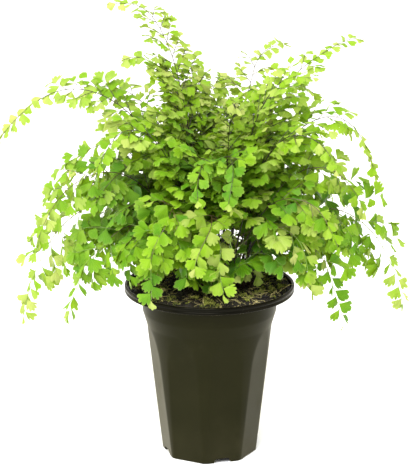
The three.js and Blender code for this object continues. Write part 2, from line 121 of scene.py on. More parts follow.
# How a stem leaves its foot: outwards for each mm of foot radius and of rise, and upwards
FOOT_SPREAD = 0.55
FOOT_LEAN = 0.06
FOOT_RISE = 0.72
BLADE_ROLL = 26.0
FRONT_ROLL = 50.0
# How far a frond's shoulder and tip sway to a side at most, as shares of twice its reach
SHOULDER_SWAY = 0.2
TIP_SWAY = 0.6
# How far a stem winds to a side of its arch, in its upper part
WINDING = 2.4
# The age that a piece without growth has, and the leaf values of a point that is on no leaflet
PLAIN_AGE = 0.5
NO_LEAF = (0.0, 0.0, 0.0)

# Stems are seen bare through a gap in the foliage, along lines that fall away from the viewer
CLEARING_X = (8.0, 42.0)
CLEARING_Z = (140.0, 169.0)
CLEARING_SLOPE = 0.292

# Each frond: azimuth of the tip, reach from the crown's axis, height of the tip, height that
# the arch aims for, and how far out the arch's shoulder is, as a share of the reach
SPIRES = [
    (172, 76, 318, 328, 0.4),
    (14, 100, 296, 288, 0.52),
    (132, 54, 278, 284, 0.42),
    (-164, 62, 286, 296, 0.5),
    (-60, 46, 262, 282, 0.5),
    (-20, 72, 280, 286, 0.5),
    (52, 76, 284, 288, 0.5),
]
ARCHES = [
    (178, 146, 240, 306, 0.66),
    (2, 108, 210, 286, 0.84),
    (-34, 98, 222, 270, 0.66),
    (-76, 84, 206, 262, 0.68),
    (-112, 90, 210, 258, 0.6),
    (-150, 102, 226, 274, 0.66),
    (145, 108, 246, 282, 0.66),
    (98, 92, 244, 282, 0.62),
    (48, 104, 240, 280, 0.66),
]
SPRAYS = [
    (-168, 128, 168, 246, 0.74),
    (-12, 106, 186, 242, 0.72),
    (-46, 98, 168, 224, 0.74),
    (-84, 80, 160, 214, 0.74),
    (-120, 88, 164, 218, 0.74),
    (158, 120, 186, 246, 0.74),
    (118, 108, 178, 238, 0.74),
    (76, 104, 180, 238, 0.74),
    (26, 114, 184, 240, 0.74),
]
SKIRTS = [
    (-170, 134, 100, 224, 0.82),
    (-146, 104, 112, 206, 0.84),
    (-122, 84, 134, 206, 0.9),
    (-98, 68, 138, 198, 0.86),
    (-50, 80, 134, 204, 0.9),
    (-37, 96, 110, 198, 0.8),
    (-8, 130, 110, 216, 0.82),
    (34, 116, 122, 202, 0.82),
    (100, 106, 122, 196, 0.82),
    (138, 112, 124, 200, 0.82),
]
VEILS = [
    (-142, 78, 142, 196, 0.9),
    (-112, 62, 146, 194, 0.86),
    (-86, 58, 160, 184, 0.8),
    (-68, 66, 166, 190, 0.7),
    (-18, 82, 142, 200, 0.88),
    (22, 84, 146, 200, 0.88),
    (56, 78, 146, 196, 0.88),
    (116, 74, 146, 196, 0.88),
    (160, 84, 142, 200, 0.88),
]
# Each frond has a key, and draws its own numbers from it, one for each of these
KEYS_PER_ROW = 20
ROLL, HAND, SWAY, WIND_PACE, WIND_START, AGE, TIP, REACH, ARCH, FOOT, LEAF_LENGTH = range(1, 12)


def drawn(key, what):
    """A number from 0 to 1 that is always the same for the same pair."""
    word = 0xFFFFFFFF
    mixed = ((key + 1) * 73856093 & word) ^ ((what + 1) * 19349663 & word)
    return (mixed * 2654435761 & word) / 2**32


def unit(vectors):
    """Vectors at length 1."""
    return vectors / np.maximum(np.linalg.norm(vectors, axis=-1, keepdims=True), 1e-9)


def across(vectors, axis):
    """Vectors made perpendicular to an axis, at unit length."""
    return unit(vectors - np.sum(vectors * axis, axis=-1, keepdims=True) * axis)


def spun(vectors, axis, degrees):
    """Vectors turned about a unit axis."""
    turn = np.radians(degrees)
    along = np.sum(vectors * axis, axis=-1, keepdims=True) * axis
    return along + (vectors - along) * np.cos(turn) + np.cross(axis, vectors) * np.sin(turn)


def smoothstep(value, low, high):
    """0 below low and 1 above high, with a smooth rise between."""
    share = np.clip((value - low) / (high - low), 0, 1)
    return share * share * (3 - 2 * share)


def outward(azimuth):
    """The level direction of an azimuth."""
    turn = math.radians(azimuth)
    return np.array([math.cos(turn), math.sin(turn), 0.0])


class Draft:
    """The points and faces of one piece, gathered part by part, with what each point knows.

    age runs from 0 on a growing tip to 1 on an old leaflet, and on a moss blade from painted shade at its
    foot to painted light at its tip. leaf holds a point's place across its leaflet, its place from the
    leaflet's root to its front, and a chance for the leaflet.
    """

    def __init__(self):
        self.points = []
        self.faces = []
        self.slots = []
        self.ages = []
        self.leaves = []
        self.count = 0

    def add(self, points, faces, slot=0, age=PLAIN_AGE, leaf=NO_LEAF):
        """Adds points with faces given as arrays of rows that count from the first point."""
        size = len(points)
        self.points.append(points)
        self.ages.append(np.broadcast_to(age, size))
        self.leaves.append(np.broadcast_to(leaf, (size, 3)))
        for rows in faces:
            self.faces.extend((rows + self.count).tolist())
            self.slots.append(np.full(len(rows), slot))
        self.count += size

    def add_copies(self, points, faces, slot, age, leaf=NO_LEAF):
        """Adds n copies of one topology: points (n, k, 3), age (n, k) and leaf (n, k, 3)."""
        copies, size = points.shape[:2]
        if not copies:
            return
        starts = np.arange(copies)[:, None, None] * size
        rows = [(block[None] + starts).reshape(-1, block.shape[1]) for block in faces]
        age = np.broadcast_to(age, (copies, size)).reshape(-1)
        leaf = np.broadcast_to(leaf, (copies, size, 3)).reshape(-1, 3)
        self.add(points.reshape(-1, 3), rows, slot, age, leaf)

    def add_tubes(self, places, radii, side, sides, slot, age):
        """Adds n tubes through places (n, k, 3) with radii (n, k), and side (n, 3) to start from."""
        copies, rings = places.shape[:2]
        if not copies:
            return
        along = unit(np.gradient(places, axis=1))
        first = across(side[:, None, :], along)
        second = np.cross(along, first)
        turns = np.arange(sides) * 2 * np.pi / sides
        wheel = (
            first[:, :, None] * np.cos(turns)[None, None, :, None]
            + second[:, :, None] * np.sin(turns)[None, None, :, None]
        )
        points = places[:, :, None] + wheel * radii[:, :, None, None]
        low = np.arange(rings - 1)[:, None] * sides + np.arange(sides)[None]
        turned = np.arange(rings - 1)[:, None] * sides + (np.arange(sides)[None] + 1) % sides
        quads = np.stack([low, turned, turned + sides, low + sides], -1).reshape(-1, 4)
        caps = np.stack([np.arange(sides)[::-1], np.arange(sides) + (rings - 1) * sides])
        ages = np.repeat(np.broadcast_to(age, (copies, rings)), sides, axis=1)
        self.add_copies(points.reshape(copies, -1, 3), [quads, caps], slot, ages)

    def build(self, name, materials):
        """Makes the object that holds the piece."""
        mesh = bpy.data.meshes.new(name)
        mesh.from_pydata(np.concatenate(self.points) * MM, [], self.faces)
        for material in materials:
            mesh.materials.append(material)
        mesh.polygons.foreach_set("material_index", np.concatenate(self.slots).astype(np.int32))
        ages = mesh.attributes.new("age", "FLOAT", "POINT")
        ages.data.foreach_set("value", np.concatenate(self.ages).astype(np.float32))
        leaves = mesh.attributes.new("leaf", "FLOAT_VECTOR", "POINT")
        leaves.data.foreach_set("vector", np.concatenate(self.leaves).astype(np.float32).ravel())
        mesh.shade_smooth()
        mesh.update()
        piece = bpy.data.objects.new(name, mesh)
        bpy.context.scene.collection.objects.link(piece)
        return piece


# Materials


class Wire:
    """A socket that does sums: each operator adds the Math node that works it out."""

    def __init__(self, finish, socket):
        self.finish = finish
        self.socket = socket

    def sum(self, operation, first, second):
        return self.finish.node("Math", {"operation": operation}, {0: first, 1: second})

    def __add__(self, other):
        return self.sum("ADD", self, other)

    __radd__ = __add__

    def __sub__(self, other):
        return self.sum("SUBTRACT", self, other)

    def __rsub__(self, other):
        return self.sum("SUBTRACT", other, self)

    def __mul__(self, other):
        return self.sum("MULTIPLY", self, other)

    __rmul__ = __mul__

    def cosine(self):
        return self.finish.node("Math", {"operation": "COSINE"}, {0: self})


# Places of a Mix node's two colours among its inputs, and of the mixed one among its outputs
MIX_FIRST = 6
MIX_SECOND = 7
MIX_RESULT = 2


class Finish:
    """A material, or the world, and the nodes that it is made of."""

    def __init__(self, owner):
        owner.use_nodes = True
        self.owner = owner
        self.tree = owner.node_tree
        self.tree.nodes.clear()

    def node(self, kind, settings=None, sockets=None, output=0):
        """Adds a node, sets it, then gives its sockets their values or links."""
        node = self.tree.nodes.new("ShaderNode" + kind)
        for name, value in (settings or {}).items():
            if name == "stops":
                self.set_stops(node.color_ramp, value)
            else:
                setattr(node, name, value)
        for name, value in (sockets or {}).items():
            if isinstance(value, Wire):
                self.tree.links.new(value.socket, node.inputs[name])
            else:
                node.inputs[name].default_value = value
        return Wire(self, node.outputs[output]) if node.outputs else None

    @staticmethod
    def set_stops(ramp, stops):
        while len(ramp.elements) < len(stops):
            ramp.elements.new(1.0)
        for element, (place, colour) in zip(ramp.elements, stops):
            element.position = place
            element.color = colour

    def ramp(self, factor, stops):
        """A colour between stops of a place and a colour each."""
        return self.node("ValToRGB", {"stops": stops}, {"Fac": factor})

    def mix(self, factor, first, second):
        """A mix of two colours."""
        settings = {"data_type": "RGBA", "clamp_factor": True}
        sockets = {0: factor, MIX_FIRST: first, MIX_SECOND: second}
        return self.node("Mix", settings, sockets, MIX_RESULT)

    def noise(self, scale, detail=3.0, place=None, roughness=0.5):
        """Noise over the object's own metres."""
        place = place or self.place()
        sockets = {"Vector": place, "Scale": scale, "Detail": detail, "Roughness": roughness}
        return self.node("TexNoise", None, sockets)

    def place(self):
        """The object's own metres."""
        return self.node("TexCoord", output="Object")

    def stretched(self, scale):
        """The object's own metres, stretched along each axis."""
        return self.node("VectorMath", {"operation": "MULTIPLY"}, {0: self.place(), 1: scale})

    def parts(self, vector):
        """The three numbers of a vector."""
        split = self.node("SeparateXYZ", None, {"Vector": vector})
        return [Wire(self, output) for output in split.socket.node.outputs]

    def between(self, value, low, high):
        """A value's smooth share between two others."""
        settings = {"interpolation_type": "SMOOTHSTEP"}
        return self.node("MapRange", settings, {"Value": value, "From Min": low, "From Max": high})

    def attribute(self, name, output="Fac"):
        """A number, or a vector, that each point of the mesh holds."""
        return self.node("Attribute", {"attribute_name": name}, None, output)

    def bump(self, height, distance, strength=1.0):
        """A normal that a height of up to distance mm bends."""
        sockets = {"Height": height, "Distance": distance * MM, "Strength": strength}
        return self.node("Bump", None, sockets)

    def shade(self, **sockets):
        """A Principled shader: each name is a socket's, with _ for a space."""
        names = {name.replace("_", " "): value for name, value in sockets.items()}
        return self.node("BsdfPrincipled", None, names)

    def show(self, shader):
        self.node("OutputMaterial", None, {"Surface": shader})
        return self.owner


def new_finish(name):
    return Finish(bpy.data.materials.new(name))


def leaflet_finish(foliage):
    """Thin green blade: forked veins, paler growing tips, and light that comes through it."""
    green = new_finish("maidenhair leaflet")
    age = green.attribute("age")
    side, ahead, chance = green.parts(green.attribute("leaf", "Vector"))
    blotch = green.noise(90.0, 3.0)
    # How much a leaflet's own tone and its blotches move it between the four ages of green
    own_tone, blotches = 0.38, 0.5
    tone = age + (chance - 0.5) * own_tone + (blotch - 0.5) * blotches
    colour = green.ramp(
        tone, [(0.0, foliage.young), (0.42, foliage.grown), (0.8, foliage.mature), (1.0, foliage.old)]
    )
    cool = green.between(green.noise(16.0, 2.0), 0.5, 0.62)
    colour = green.mix(cool * 0.55 * age, colour, foliage.cool)
    # Five veins leave the root, and each is two by the front
    vein_turns = 31.4
    few = (side * vein_turns).cosine()
    many = (side * (2 * vein_turns)).cosine()
    forked = green.between(ahead, 0.35, 0.6)
    vein = green.between(few * (1 - forked) + many * forked, 0.55, 1.0)
    margin = green.between(ahead, 0.86, 1.0)
    colour = green.mix(vein * 0.22, colour, foliage.vein)
    colour = green.mix(margin * 0.2, colour, foliage.young)
    height = vein * 0.6 + green.noise(700.0, 2.0) * 0.5
    blade = green.shade(
        Base_Color=colour,
        Roughness=0.3 + 0.25 * blotch,
        Specular_IOR_Level=0.17,
        Specular_Tint=(0.95, 1.0, 0.6, 1.0),
        Normal=green.bump(height, 0.2, 0.8),
    )
    through = green.node("BsdfTranslucent", None, {"Color": foliage.glow})
    share = foliage.translucence - 0.12 * age
    return green.show(green.node("MixShader", None, {0: share, 1: blade, 2: through}))


def stem_finish(foliage):
    """Wiry stem: nearly black and polished, greener where it still grows."""
    wire = new_finish("maidenhair stem")
    age = wire.attribute("age")
    streaks = wire.noise(400.0, 2.0, wire.stretched((1.0, 1.0, 0.15)))
    tone = age + (streaks - 0.5) * 0.25
    colour = wire.ramp(
        tone,
        [(0.0, foliage.shoot), (0.16, foliage.stem_tip), (0.45, foliage.stem), (1.0, foliage.stem)],
    )
    return wire.show(wire.shade(Base_Color=colour, Roughness=0.24 + 0.16 * streaks))


def plastic_finish(pot):
    """Moulded satin plastic with faint flow marks, dust and rubbed patches, and near-black painted shade
    over the rim and the band below it.
    """
    plastic = new_finish("moulded pot plastic")
    mottle = plastic.noise(38.0, 4.0)
    flow = plastic.noise(120.0, 3.0, plastic.stretched((1.0, 1.0, 0.06)))
    grain = plastic.noise(2600.0, 2.0)
    rubbed = plastic.between(plastic.noise(24.0, 5.0, roughness=0.65), 0.54, 0.72)
    _, _, height = plastic.parts(plastic.place())
    dusty = (1 - plastic.between(height, 0.0, 0.04)) * 0.25 + rubbed * 0.2
    # Painted shade: this mask darkens the rim and the band just below it to near black, and also makes
    # them glossier
    rim = plastic.between(height, RIM_FOOT_Z * MM - 0.006, RIM_FOOT_Z * MM)
    colour = plastic.mix(mottle, pot.plastic, pot.plastic_light)
    colour = plastic.mix(dusty * mottle, colour, pot.dust)
    # Near-black painted shade over the rim and the band below it
    colour = plastic.mix(rim, colour, pot.rim)
    bumps = grain * 0.6 + flow * 0.8
    return plastic.show(
        plastic.shade(
            Base_Color=colour,
            Roughness=0.3 + 0.14 * mottle + 0.12 * rubbed - 0.12 * rim,
            Specular_IOR_Level=0.05,
            Specular_Tint=(1.0, 0.94, 0.74, 1.0),
            Sheen_Weight=0.12,
            Sheen_Roughness=0.35,
            Sheen_Tint=(1.0, 0.86, 0.42, 1.0),
            Normal=plastic.bump(bumps, 0.05, 0.5),
        )
    )


def earth_finish(ground):
    """Damp peat, nearly black, with brown and pale crumbs."""
    earth = new_finish("potting soil")
    coarse = earth.noise(330.0, 6.0, roughness=0.7)
    fine = earth.noise(1500.0, 3.0)
    colour = earth.ramp(coarse, [(0.35, ground.peat), (0.6, ground.bark), (0.78, ground.chaff)])
    wet = earth.between(earth.noise(60.0, 3.0), 0.45, 0.6)
    return earth.show(
        earth.shade(
            Base_Color=colour,
            Roughness=0.92 - 0.3 * wet,
            Normal=earth.bump(coarse + fine * 0.5, 0.8, 0.8),
        )
    )


def strand_finish(ground):
    """Dry fibres and crumbs, each of its own brown."""
    strand = new_finish("bark fibre")
    age = strand.attribute("age")
    grain = strand.noise(900.0, 3.0)
    tone = age + (grain - 0.5) * 0.3
    colour = strand.ramp(tone, [(0.0, ground.peat), (0.45, ground.bark), (1.0, ground.straw)])
    return strand.show(strand.shade(Base_Color=colour, Roughness=0.85, Normal=strand.bump(grain, 0.1)))


def moss_finish(ground):
    """Short moss: painted shade in dark green at its foot, painted light in yellow green at its tips."""
    moss = new_finish("cushion moss")
    age = moss.attribute("age")
    spread = moss.noise(160.0, 2.0)
    # Age runs up each blade, so the ramp paints shade at the foot and light at the tip
    tone = age + (spread - 0.5) * 0.6
    colour = moss.ramp(tone, [(0.0, ground.moss_foot), (0.55, ground.moss), (1.0, ground.moss_tip)])
    return moss.show(moss.shade(Base_Color=colour, Roughness=0.8))


# Leaflets


# Places of the two finishes of a frond among the materials of its piece
LEAF_SLOT, STEM_SLOT = 0, 1


class LeafShape:
    """The flat pattern of a leaflet of length 1: lobes round the front of a wedge-shaped root.

    The sides leave the root low and high degrees from its axis, and are low_edge and high_edge
    long. Notches are about depth deep, and differ by the seed, as lobes do. rings says how many
    rows of faces there are from root to front.
    """

    # Places across a lobe, and how far its front stands out there
    FINE = ((0.0, 0.0), (0.13, 0.0), (0.32, 0.016), (0.5, -0.012), (0.68, 0.016), (0.87, 0.0))
    PLAIN = ((0.0, 0.0), (0.18, 0.0), (0.5, 0.0), (0.82, 0.0))

    def __init__(self, low, high, lobes, depth, low_edge, high_edge, seed, teeth=FINE, rings=3):
        rng = np.random.default_rng(seed)
        depths = depth * rng.uniform(0.55, 1.35, lobes + 1)
        depths[[0, -1]] *= 0.45
        lengths = rng.uniform(-0.035, 0.02, lobes)
        borders = np.cumsum(np.concatenate([[0], rng.uniform(0.8, 1.25, lobes)]))
        borders /= borders[-1]
        share, reach = [], []
        for lobe in range(lobes):
            for place, tooth in teeth:
                cut = depths[lobe] if place < 0.5 else depths[lobe + 1]
                share.append(borders[lobe] + (borders[lobe + 1] - borders[lobe]) * place)
                reach.append(1 + lengths[lobe] + tooth - cut * abs(2 * place - 1) ** 2.4)
        share = np.array([*share, 1.0])
        reach = np.array([*reach, 1 - depths[-1]])
        edge = np.where(share < 0.5, low_edge, high_edge)
        rim = 1 - (1 - edge) * np.abs(2 * share - 1) ** 2.2
        levels = (np.arange(rings) + 1) / rings
        radius = levels[:, None] * rim * (1 + (reach - 1) * levels[:, None] ** 2)
        angle = np.radians(low + (high - low) * share)
        x = radius * np.sin(angle)
        y = radius * np.cos(angle)
        pleat = levels[:, None] ** 1.5 * (reach - 1)
        count = len(share)
        self.flat = np.concatenate([[[0, 0]], np.stack([x, y], -1).reshape(-1, 2)])
        self.pleat = np.concatenate([[0.0], pleat.ravel()])
        self.side = np.concatenate([[0.0], np.tile(share - 0.5, rings)])
        self.ahead = np.concatenate([[0.0], np.repeat(levels, count)])
        first = np.arange(count - 1)
        fan = np.stack([np.zeros(count - 1, int), first + 2, first + 1], -1)
        rows = (np.arange(rings - 1)[:, None] * count + 1 + first[None]).ravel()
        self.faces = [fan, np.stack([rows, rows + 1, rows + 1 + count, rows + count], -1)]


# Patterns of the leaflets at the tips of ribs, of those on their sides, and of small leaflets
FANS = [
    LeafShape(-52, 50, 5, 0.19, 0.74, 0.72, 1),
    LeafShape(-46, 50, 4, 0.24, 0.78, 0.7, 2),
    LeafShape(-50, 44, 3, 0.26, 0.72, 0.78, 3),
    LeafShape(-42, 46, 3, 0.2, 0.8, 0.74, 4),
    LeafShape(-48, 50, 5, 0.17, 0.76, 0.7, 5),
]
WEDGES = [
    LeafShape(-28, 56, 4, 0.2, 0.62, 0.82, 11),
    LeafShape(-26, 50, 3, 0.25, 0.68, 0.82, 12),
    LeafShape(-34, 48, 3, 0.19, 0.66, 0.8, 13),
    LeafShape(-30, 60, 5, 0.19, 0.6, 0.82, 14),
    LeafShape(-24, 54, 4, 0.23, 0.66, 0.86, 15),
    LeafShape(-36, 54, 4, 0.18, 0.68, 0.78, 16),
    LeafShape(-30, 50, 3, 0.16, 0.7, 0.84, 17),
    LeafShape(-32, 58, 5, 0.22, 0.62, 0.82, 18),
]
SMALL = [
    LeafShape(*numbers, teeth=LeafShape.PLAIN, rings=2)
    for numbers in (
        (-42, 48, 3, 0.15, 0.7, 0.8, 21),
        (-34, 46, 2, 0.17, 0.72, 0.82, 22),
        (-38, 44, 3, 0.12, 0.74, 0.8, 23),
        (-30, 52, 4, 0.14, 0.7, 0.84, 24),
    )
]
# Leaflets shorter than this have one of the small patterns
SMALL_LENGTH = 8.0
Leaflet = namedtuple("Leaflet", "place along normal length age hand chance")


class Leaflets:
    """Leaflets that wait to be drawn: where each roots, how it lies, and what it looks like."""

    def __init__(self):
        self.rows = []

    def add(self, place, along, normal, length, age, hand, rng):
        """hand is 1 or -1 on the sides of a rib, with the longer edge away from the root, or 0."""
        self.rows.append(Leaflet(place, along, normal, length, age, hand, rng.random(8)))

    def draw(self, draft):
        """Adds the leaflets to a piece, those of one pattern together."""
        for is_side, shapes in ((False, FANS), (True, WEDGES)):
            alike = [leaflet for leaflet in self.rows if (leaflet.hand != 0) == is_side]
            large = [leaflet for leaflet in alike if leaflet.length >= SMALL_LENGTH]
            small = [leaflet for leaflet in alike if leaflet.length < SMALL_LENGTH]
            for rows, patterns in ((large, shapes), (small, SMALL)):
                choices = [int(leaflet.chance[0] * len(patterns)) for leaflet in rows]
                for i, pattern in enumerate(patterns):
                    chosen = [leaflet for leaflet, choice in zip(rows, choices) if choice == i]
                    self.draw_like(draft, chosen, pattern)

    @staticmethod
    def draw_like(draft, rows, shape):
        """Adds leaflets of one pattern, each with its own width, cup, droop, twist and wave."""
        if not rows:
            return
        place, along, normal, length, age, hand, chance = (np.array(column) for column in zip(*rows))
        _, flip, width, cup, droop, twist, wave, tone = chance.T[:, :, None]
        # A left leaflet is a mirrored right one
        mirror = np.where(hand < 0, -1.0, 1.0)
        mirror = np.where(hand == 0, np.where(flip[:, 0] < 0.5, 1.0, -1.0), mirror)
        right = np.cross(along, normal) * mirror[:, None]
        x = shape.flat[None, :, 0] * (0.86 + 0.26 * width)
        y = np.broadcast_to(shape.flat[None, :, 1], x.shape)
        z = -(0.1 + 0.5 * cup) * x**2 - (-0.05 + 0.45 * droop) * y**2 + 1.1 * (twist - 0.5) * x * y
        z = z + 0.12 * shape.pleat + 0.075 * np.sin(8 * x + 9 * wave) * y
        points = place[:, None] + length[:, None, None] * (
            x[..., None] * right[:, None] + y[..., None] * along[:, None] + z[..., None] * normal[:, None]
        )
        leaf = np.empty(points.shape)
        leaf[..., 0] = shape.side
        leaf[..., 1] = shape.ahead
        leaf[..., 2] = tone
        for is_mirrored in (False, True):
            rows_like = (mirror < 0) == is_mirrored
            faces = [block[:, ::-1] if is_mirrored else block for block in shape.faces]
            draft.add_copies(points[rows_like], faces, LEAF_SLOT, age[rows_like, None], leaf[rows_like])


# Fronds


class Spine:
    """The curve of a frond's stem, with directions at each share of its length."""

    POINTS = 401

    def __init__(self, shape, foot_radius, blade_start, key):
        azimuth, reach, tip_z, arch_z, shoulder = shape
        self.blade_start = blade_start
        self.reach = reach
        self.out = outward(azimuth)
        axis = np.array([CROWN_X, 0.0, 0.0])
        foot = axis + self.out * foot_radius + UP * STEM_FOOT_Z
        rise = arch_z - STEM_FOOT_Z
        lean = foot_radius * FOOT_SPREAD + rise * FOOT_LEAN
        sway = np.cross(UP, self.out) * reach * (drawn(key, SWAY) - 0.5)
        corners = [
            foot,
            foot + self.out * lean + UP * rise * FOOT_RISE,
            axis + self.out * reach * shoulder + sway * SHOULDER_SWAY + UP * arch_z,
            axis + self.out * reach + sway * TIP_SWAY + UP * tip_z,
        ]
        t = np.linspace(0, 1, self.POINTS)[:, None]
        weights = [(1 - t) ** 3, 3 * t * (1 - t) ** 2, 3 * t**2 * (1 - t), t**3]
        self.places = sum(weight * corner for weight, corner in zip(weights, corners))
        bends = np.sin(t * (11 + 5 * drawn(key, WIND_PACE)) + 6 * drawn(key, WIND_START))
        self.places += np.cross(UP, self.out) * WINDING * bends * smoothstep(t, 0.3, 0.9)
        steps = np.linalg.norm(np.diff(self.places, axis=0), axis=1)
        self.lengths = np.concatenate([[0], np.cumsum(steps)])
        self.length = self.lengths[-1]
        self.roll = FRONT_ROLL * math.cos(math.radians(azimuth)) + BLADE_ROLL * (drawn(key, ROLL) - 0.5)

    def places_at(self, lengths):
        return np.stack([np.interp(lengths, self.lengths, self.places[:, i]) for i in range(3)], -1)

    def at(self, shares):
        """Places, directions along, and normals, for an array of shares."""
        wanted = np.atleast_1d(shares) * self.length
        step = self.length * 2 / (self.POINTS - 1)
        along = unit(self.places_at(wanted + step) - self.places_at(wanted - step))
        right = np.broadcast_to(np.cross(self.out, UP), along.shape)
        return self.places_at(wanted), along, np.cross(right, along)

    def blade_share(self, share):
        """The share of the whole stem that lies at a share of its blade."""
        return self.blade_start + (1 - self.blade_start) * share


def grow_rib(place, along, normal, length, droop, steps):
    """A rib that bends down under its weight: its places, directions and normals."""
    step = length / steps
    places, alongs, normals = [place], [along], [normal]
    for _ in range(steps):
        place = place + along * step
        along = unit(along - UP * droop * step)
        normal = across(normal, along)
        places.append(place)
        alongs.append(along)
        normals.append(normal)
    return np.array(places), np.array(alongs), np.array(normals)


def turned(along, normal, hand, degrees):
    """A direction turned to the right of another for hand 1, or to its left for -1."""
    return spun(along, normal, -hand * degrees)


def is_in_clearing(place):
    """Whether a leaflet here would hide the bare stems from the viewer."""
    level = place[2] + CLEARING_SLOPE * place[1]
    return CLEARING_X[0] < place[0] < CLEARING_X[1] and CLEARING_Z[0] < level < CLEARING_Z[1]


class Frond:
    """One frond: a rachis, side ribs on both sides of it, and their leaflets.

    width is the length of the lowest side rib for each mm of the blade. outlook says how far its
    leaflets face out of the plant rather than up, and sag how fast its ribs bend down, for each mm.
    """

    # Below the first of these outlooks a frond is an upright one, below the second a midmost one
    UPRIGHT = 0.4
    MIDMOST = 0.2
    # Gaps between leaflets on a rib, between ribs, and between the leaflets at the tip, in
    # lengths of a leaflet
    LEAFLET_PITCH = 0.33
    RIB_PITCH = 0.72
    TIP_PITCH = 0.42
    # How far a leaflet, a small rib and a side rib turn from what they grow on: at least, and how
    # much more by chance
    LEAFLET_TURN = (14, 36)
    BRANCH_TURN = (34, 14)
    RIB_TURN = (40, 14)
    # How much more a leaflet bends down than a rib, how far it strays, and how far it rolls
    LEAFLET_SAG = 2.2
    LEAFLET_STRAY = 0.14
    LEAFLET_ROLL = 26
    # Radii at the foot of the rachis and at its tip, of ribs and small ribs, and along a stalk
    RACHIS_RADII = (0.54, 0.16)
    RIB_RADII = (0.27, 0.18)
    STALK_RADII = (0.15, 0.13, 0.11)

    def __init__(self, spine, leaf_length, width, outlook, sag, key, age, keeps_clear=True):
        self.spine = spine
        self.keeps_clear = keeps_clear
        self.leaf_length = leaf_length
        self.width = width
        self.outlook = outlook
        self.sag = sag
        self.age = age
        # How much of its stem's roll the blade takes, how much younger its tip is than its foot,
        # and how much shorter its ribs are than width says
        is_upright = outlook < self.UPRIGHT
        self.turnout = 0.6 if is_upright else 1.0
        self.fading = 0.6 if outlook < self.MIDMOST else 0.64 * min(1.2, spine.reach / 110) ** 2
        self.narrowing = min(1.0, (60 + 80 * outlook) / spine.reach) if is_upright else 1.0
        self.rng = np.random.default_rng(key)
        self.leaflets = Leaflets()
        self.ribs = ([], [])
        self.stalks = []

    def by_chance(self, low, spread):
        """A number by chance from low to low + spread."""
        return low + spread * self.rng.random()

    def towards_light(self, place, along, normal, weight):
        """A normal turned by a weight from 0 to 1 towards the light that falls past the plant."""
        away = unit((place - [CROWN_X, 0, 0]) * [1, 1, 0] + self.spine.out * 12)
        lit = across(away * self.outlook + UP * (1 - self.outlook), along)
        return unit(normal * (1 - weight) + lit * weight)

    def add_leaflet(self, place, along, normal, hand, length, age):
        """A leaflet on its own hair-thin stalk."""
        if self.keeps_clear and is_in_clearing(place):
            return
        axis = turned(along, normal, hand, self.by_chance(*self.LEAFLET_TURN)) if hand else along
        sag = UP * self.sag * length * self.LEAFLET_SAG
        axis = unit(axis - sag + self.LEAFLET_STRAY * self.rng.normal(size=3))
        normal = self.towards_light(place, axis, across(normal, axis), 0.5)
        normal = spun(across(normal, axis), axis, self.LEAFLET_ROLL * self.rng.normal())
        stalk = length * self.by_chance(0.08, 0.1)
        bend = unit(axis * 0.8 + (along if hand else axis) * 0.3 + normal * self.by_chance(0.5, 1.3))
        root = place + bend * stalk * 0.5 + axis * stalk * 0.5
        self.stalks.append((place, place + bend * stalk * 0.5, root + axis * 0.04 * length, normal))
        self.leaflets.add(root, axis, normal, length, age, hand, self.rng)

    def add_rib(self, place, along, normal, length, size, age, first_hand, depth):
        """A side rib with leaflets in turn on both sides, and smaller ribs near its root."""
        steps = 8 if depth == 0 else 4
        rib = grow_rib(place, along, normal, length, self.sag, steps)
        self.ribs[depth].append(rib)
        pitch = size * self.LEAFLET_PITCH
        at = pitch * self.by_chance(0.8, 0.3)
        hand = first_hand
        lengths = np.linspace(0, length, steps + 1)
        while at < length - pitch * 0.4:
            share = at / length
            spot, ahead, facing = (
                np.array([np.interp(at, lengths, part[:, i]) for i in range(3)]) for part in rib
            )
            grown = size * (1 - 0.16 * share) * self.by_chance(0.64, 0.62)
            young = age * (1 - 0.35 * share)
            if depth == 0 and length > 3 * size and share < 0.45:
                branch = turned(ahead, facing, hand, self.by_chance(*self.BRANCH_TURN))
                reach = size * (1.5 - share) * self.by_chance(0.9, 0.3)
                self.add_rib(spot, branch, across(facing, branch), reach, grown * 0.92, young, hand, 1)
            else:
                self.add_leaflet(spot, ahead, facing, hand, grown, young)
            hand = -hand
            at += pitch * self.by_chance(0.85, 0.3)
        place, along, normal = (part[-1] for part in rib)
        self.add_leaflet(place, along, normal, 0, size * self.by_chance(0.72, 0.2), age * 0.7)

    def grow(self, first_hand):
        """Grows ribs and leaflets by turns on both sides, from where the blade starts to its tip."""
        blade = self.spine.length * (1 - self.spine.blade_start)
        share = 0.0
        hand = first_hand
        while share < 0.985:
            place, along, normal = (part[0] for part in self.spine.at(self.spine.blade_share(share)))
            normal = spun(normal, along, self.spine.roll * self.turnout)
            size = self.leaf_length * (1 - 0.24 * share)
            length = blade * self.width * self.narrowing * (1 - share) ** 1.2
            length *= self.by_chance(0.85, 0.25)
            age = self.age * (1 - self.fading * share) + self.by_chance(-0.06, 0.12)
            if length > 1.1 * size:
                branch = turned(along, normal, hand, self.by_chance(*self.RIB_TURN))
                facing = self.towards_light(place, branch, across(normal, branch), 0.45)
                facing = spun(across(facing, branch), branch, self.by_chance(-10, 20))
                self.add_rib(place, branch, facing, length, size, age, hand, 0)
                gap = self.leaf_length * self.RIB_PITCH * (1 - 0.3 * share)
            else:
                self.add_leaflet(place, along, normal, hand, size * self.by_chance(0.85, 0.2), age)
                gap = size * self.TIP_PITCH
            hand = -hand
            share += gap * self.by_chance(0.85, 0.3) / blade
        place, along, normal = (part[0] for part in self.spine.at(1.0))
        self.add_leaflet(place, along, normal, 0, self.leaf_length * 0.5, self.age * 0.3)

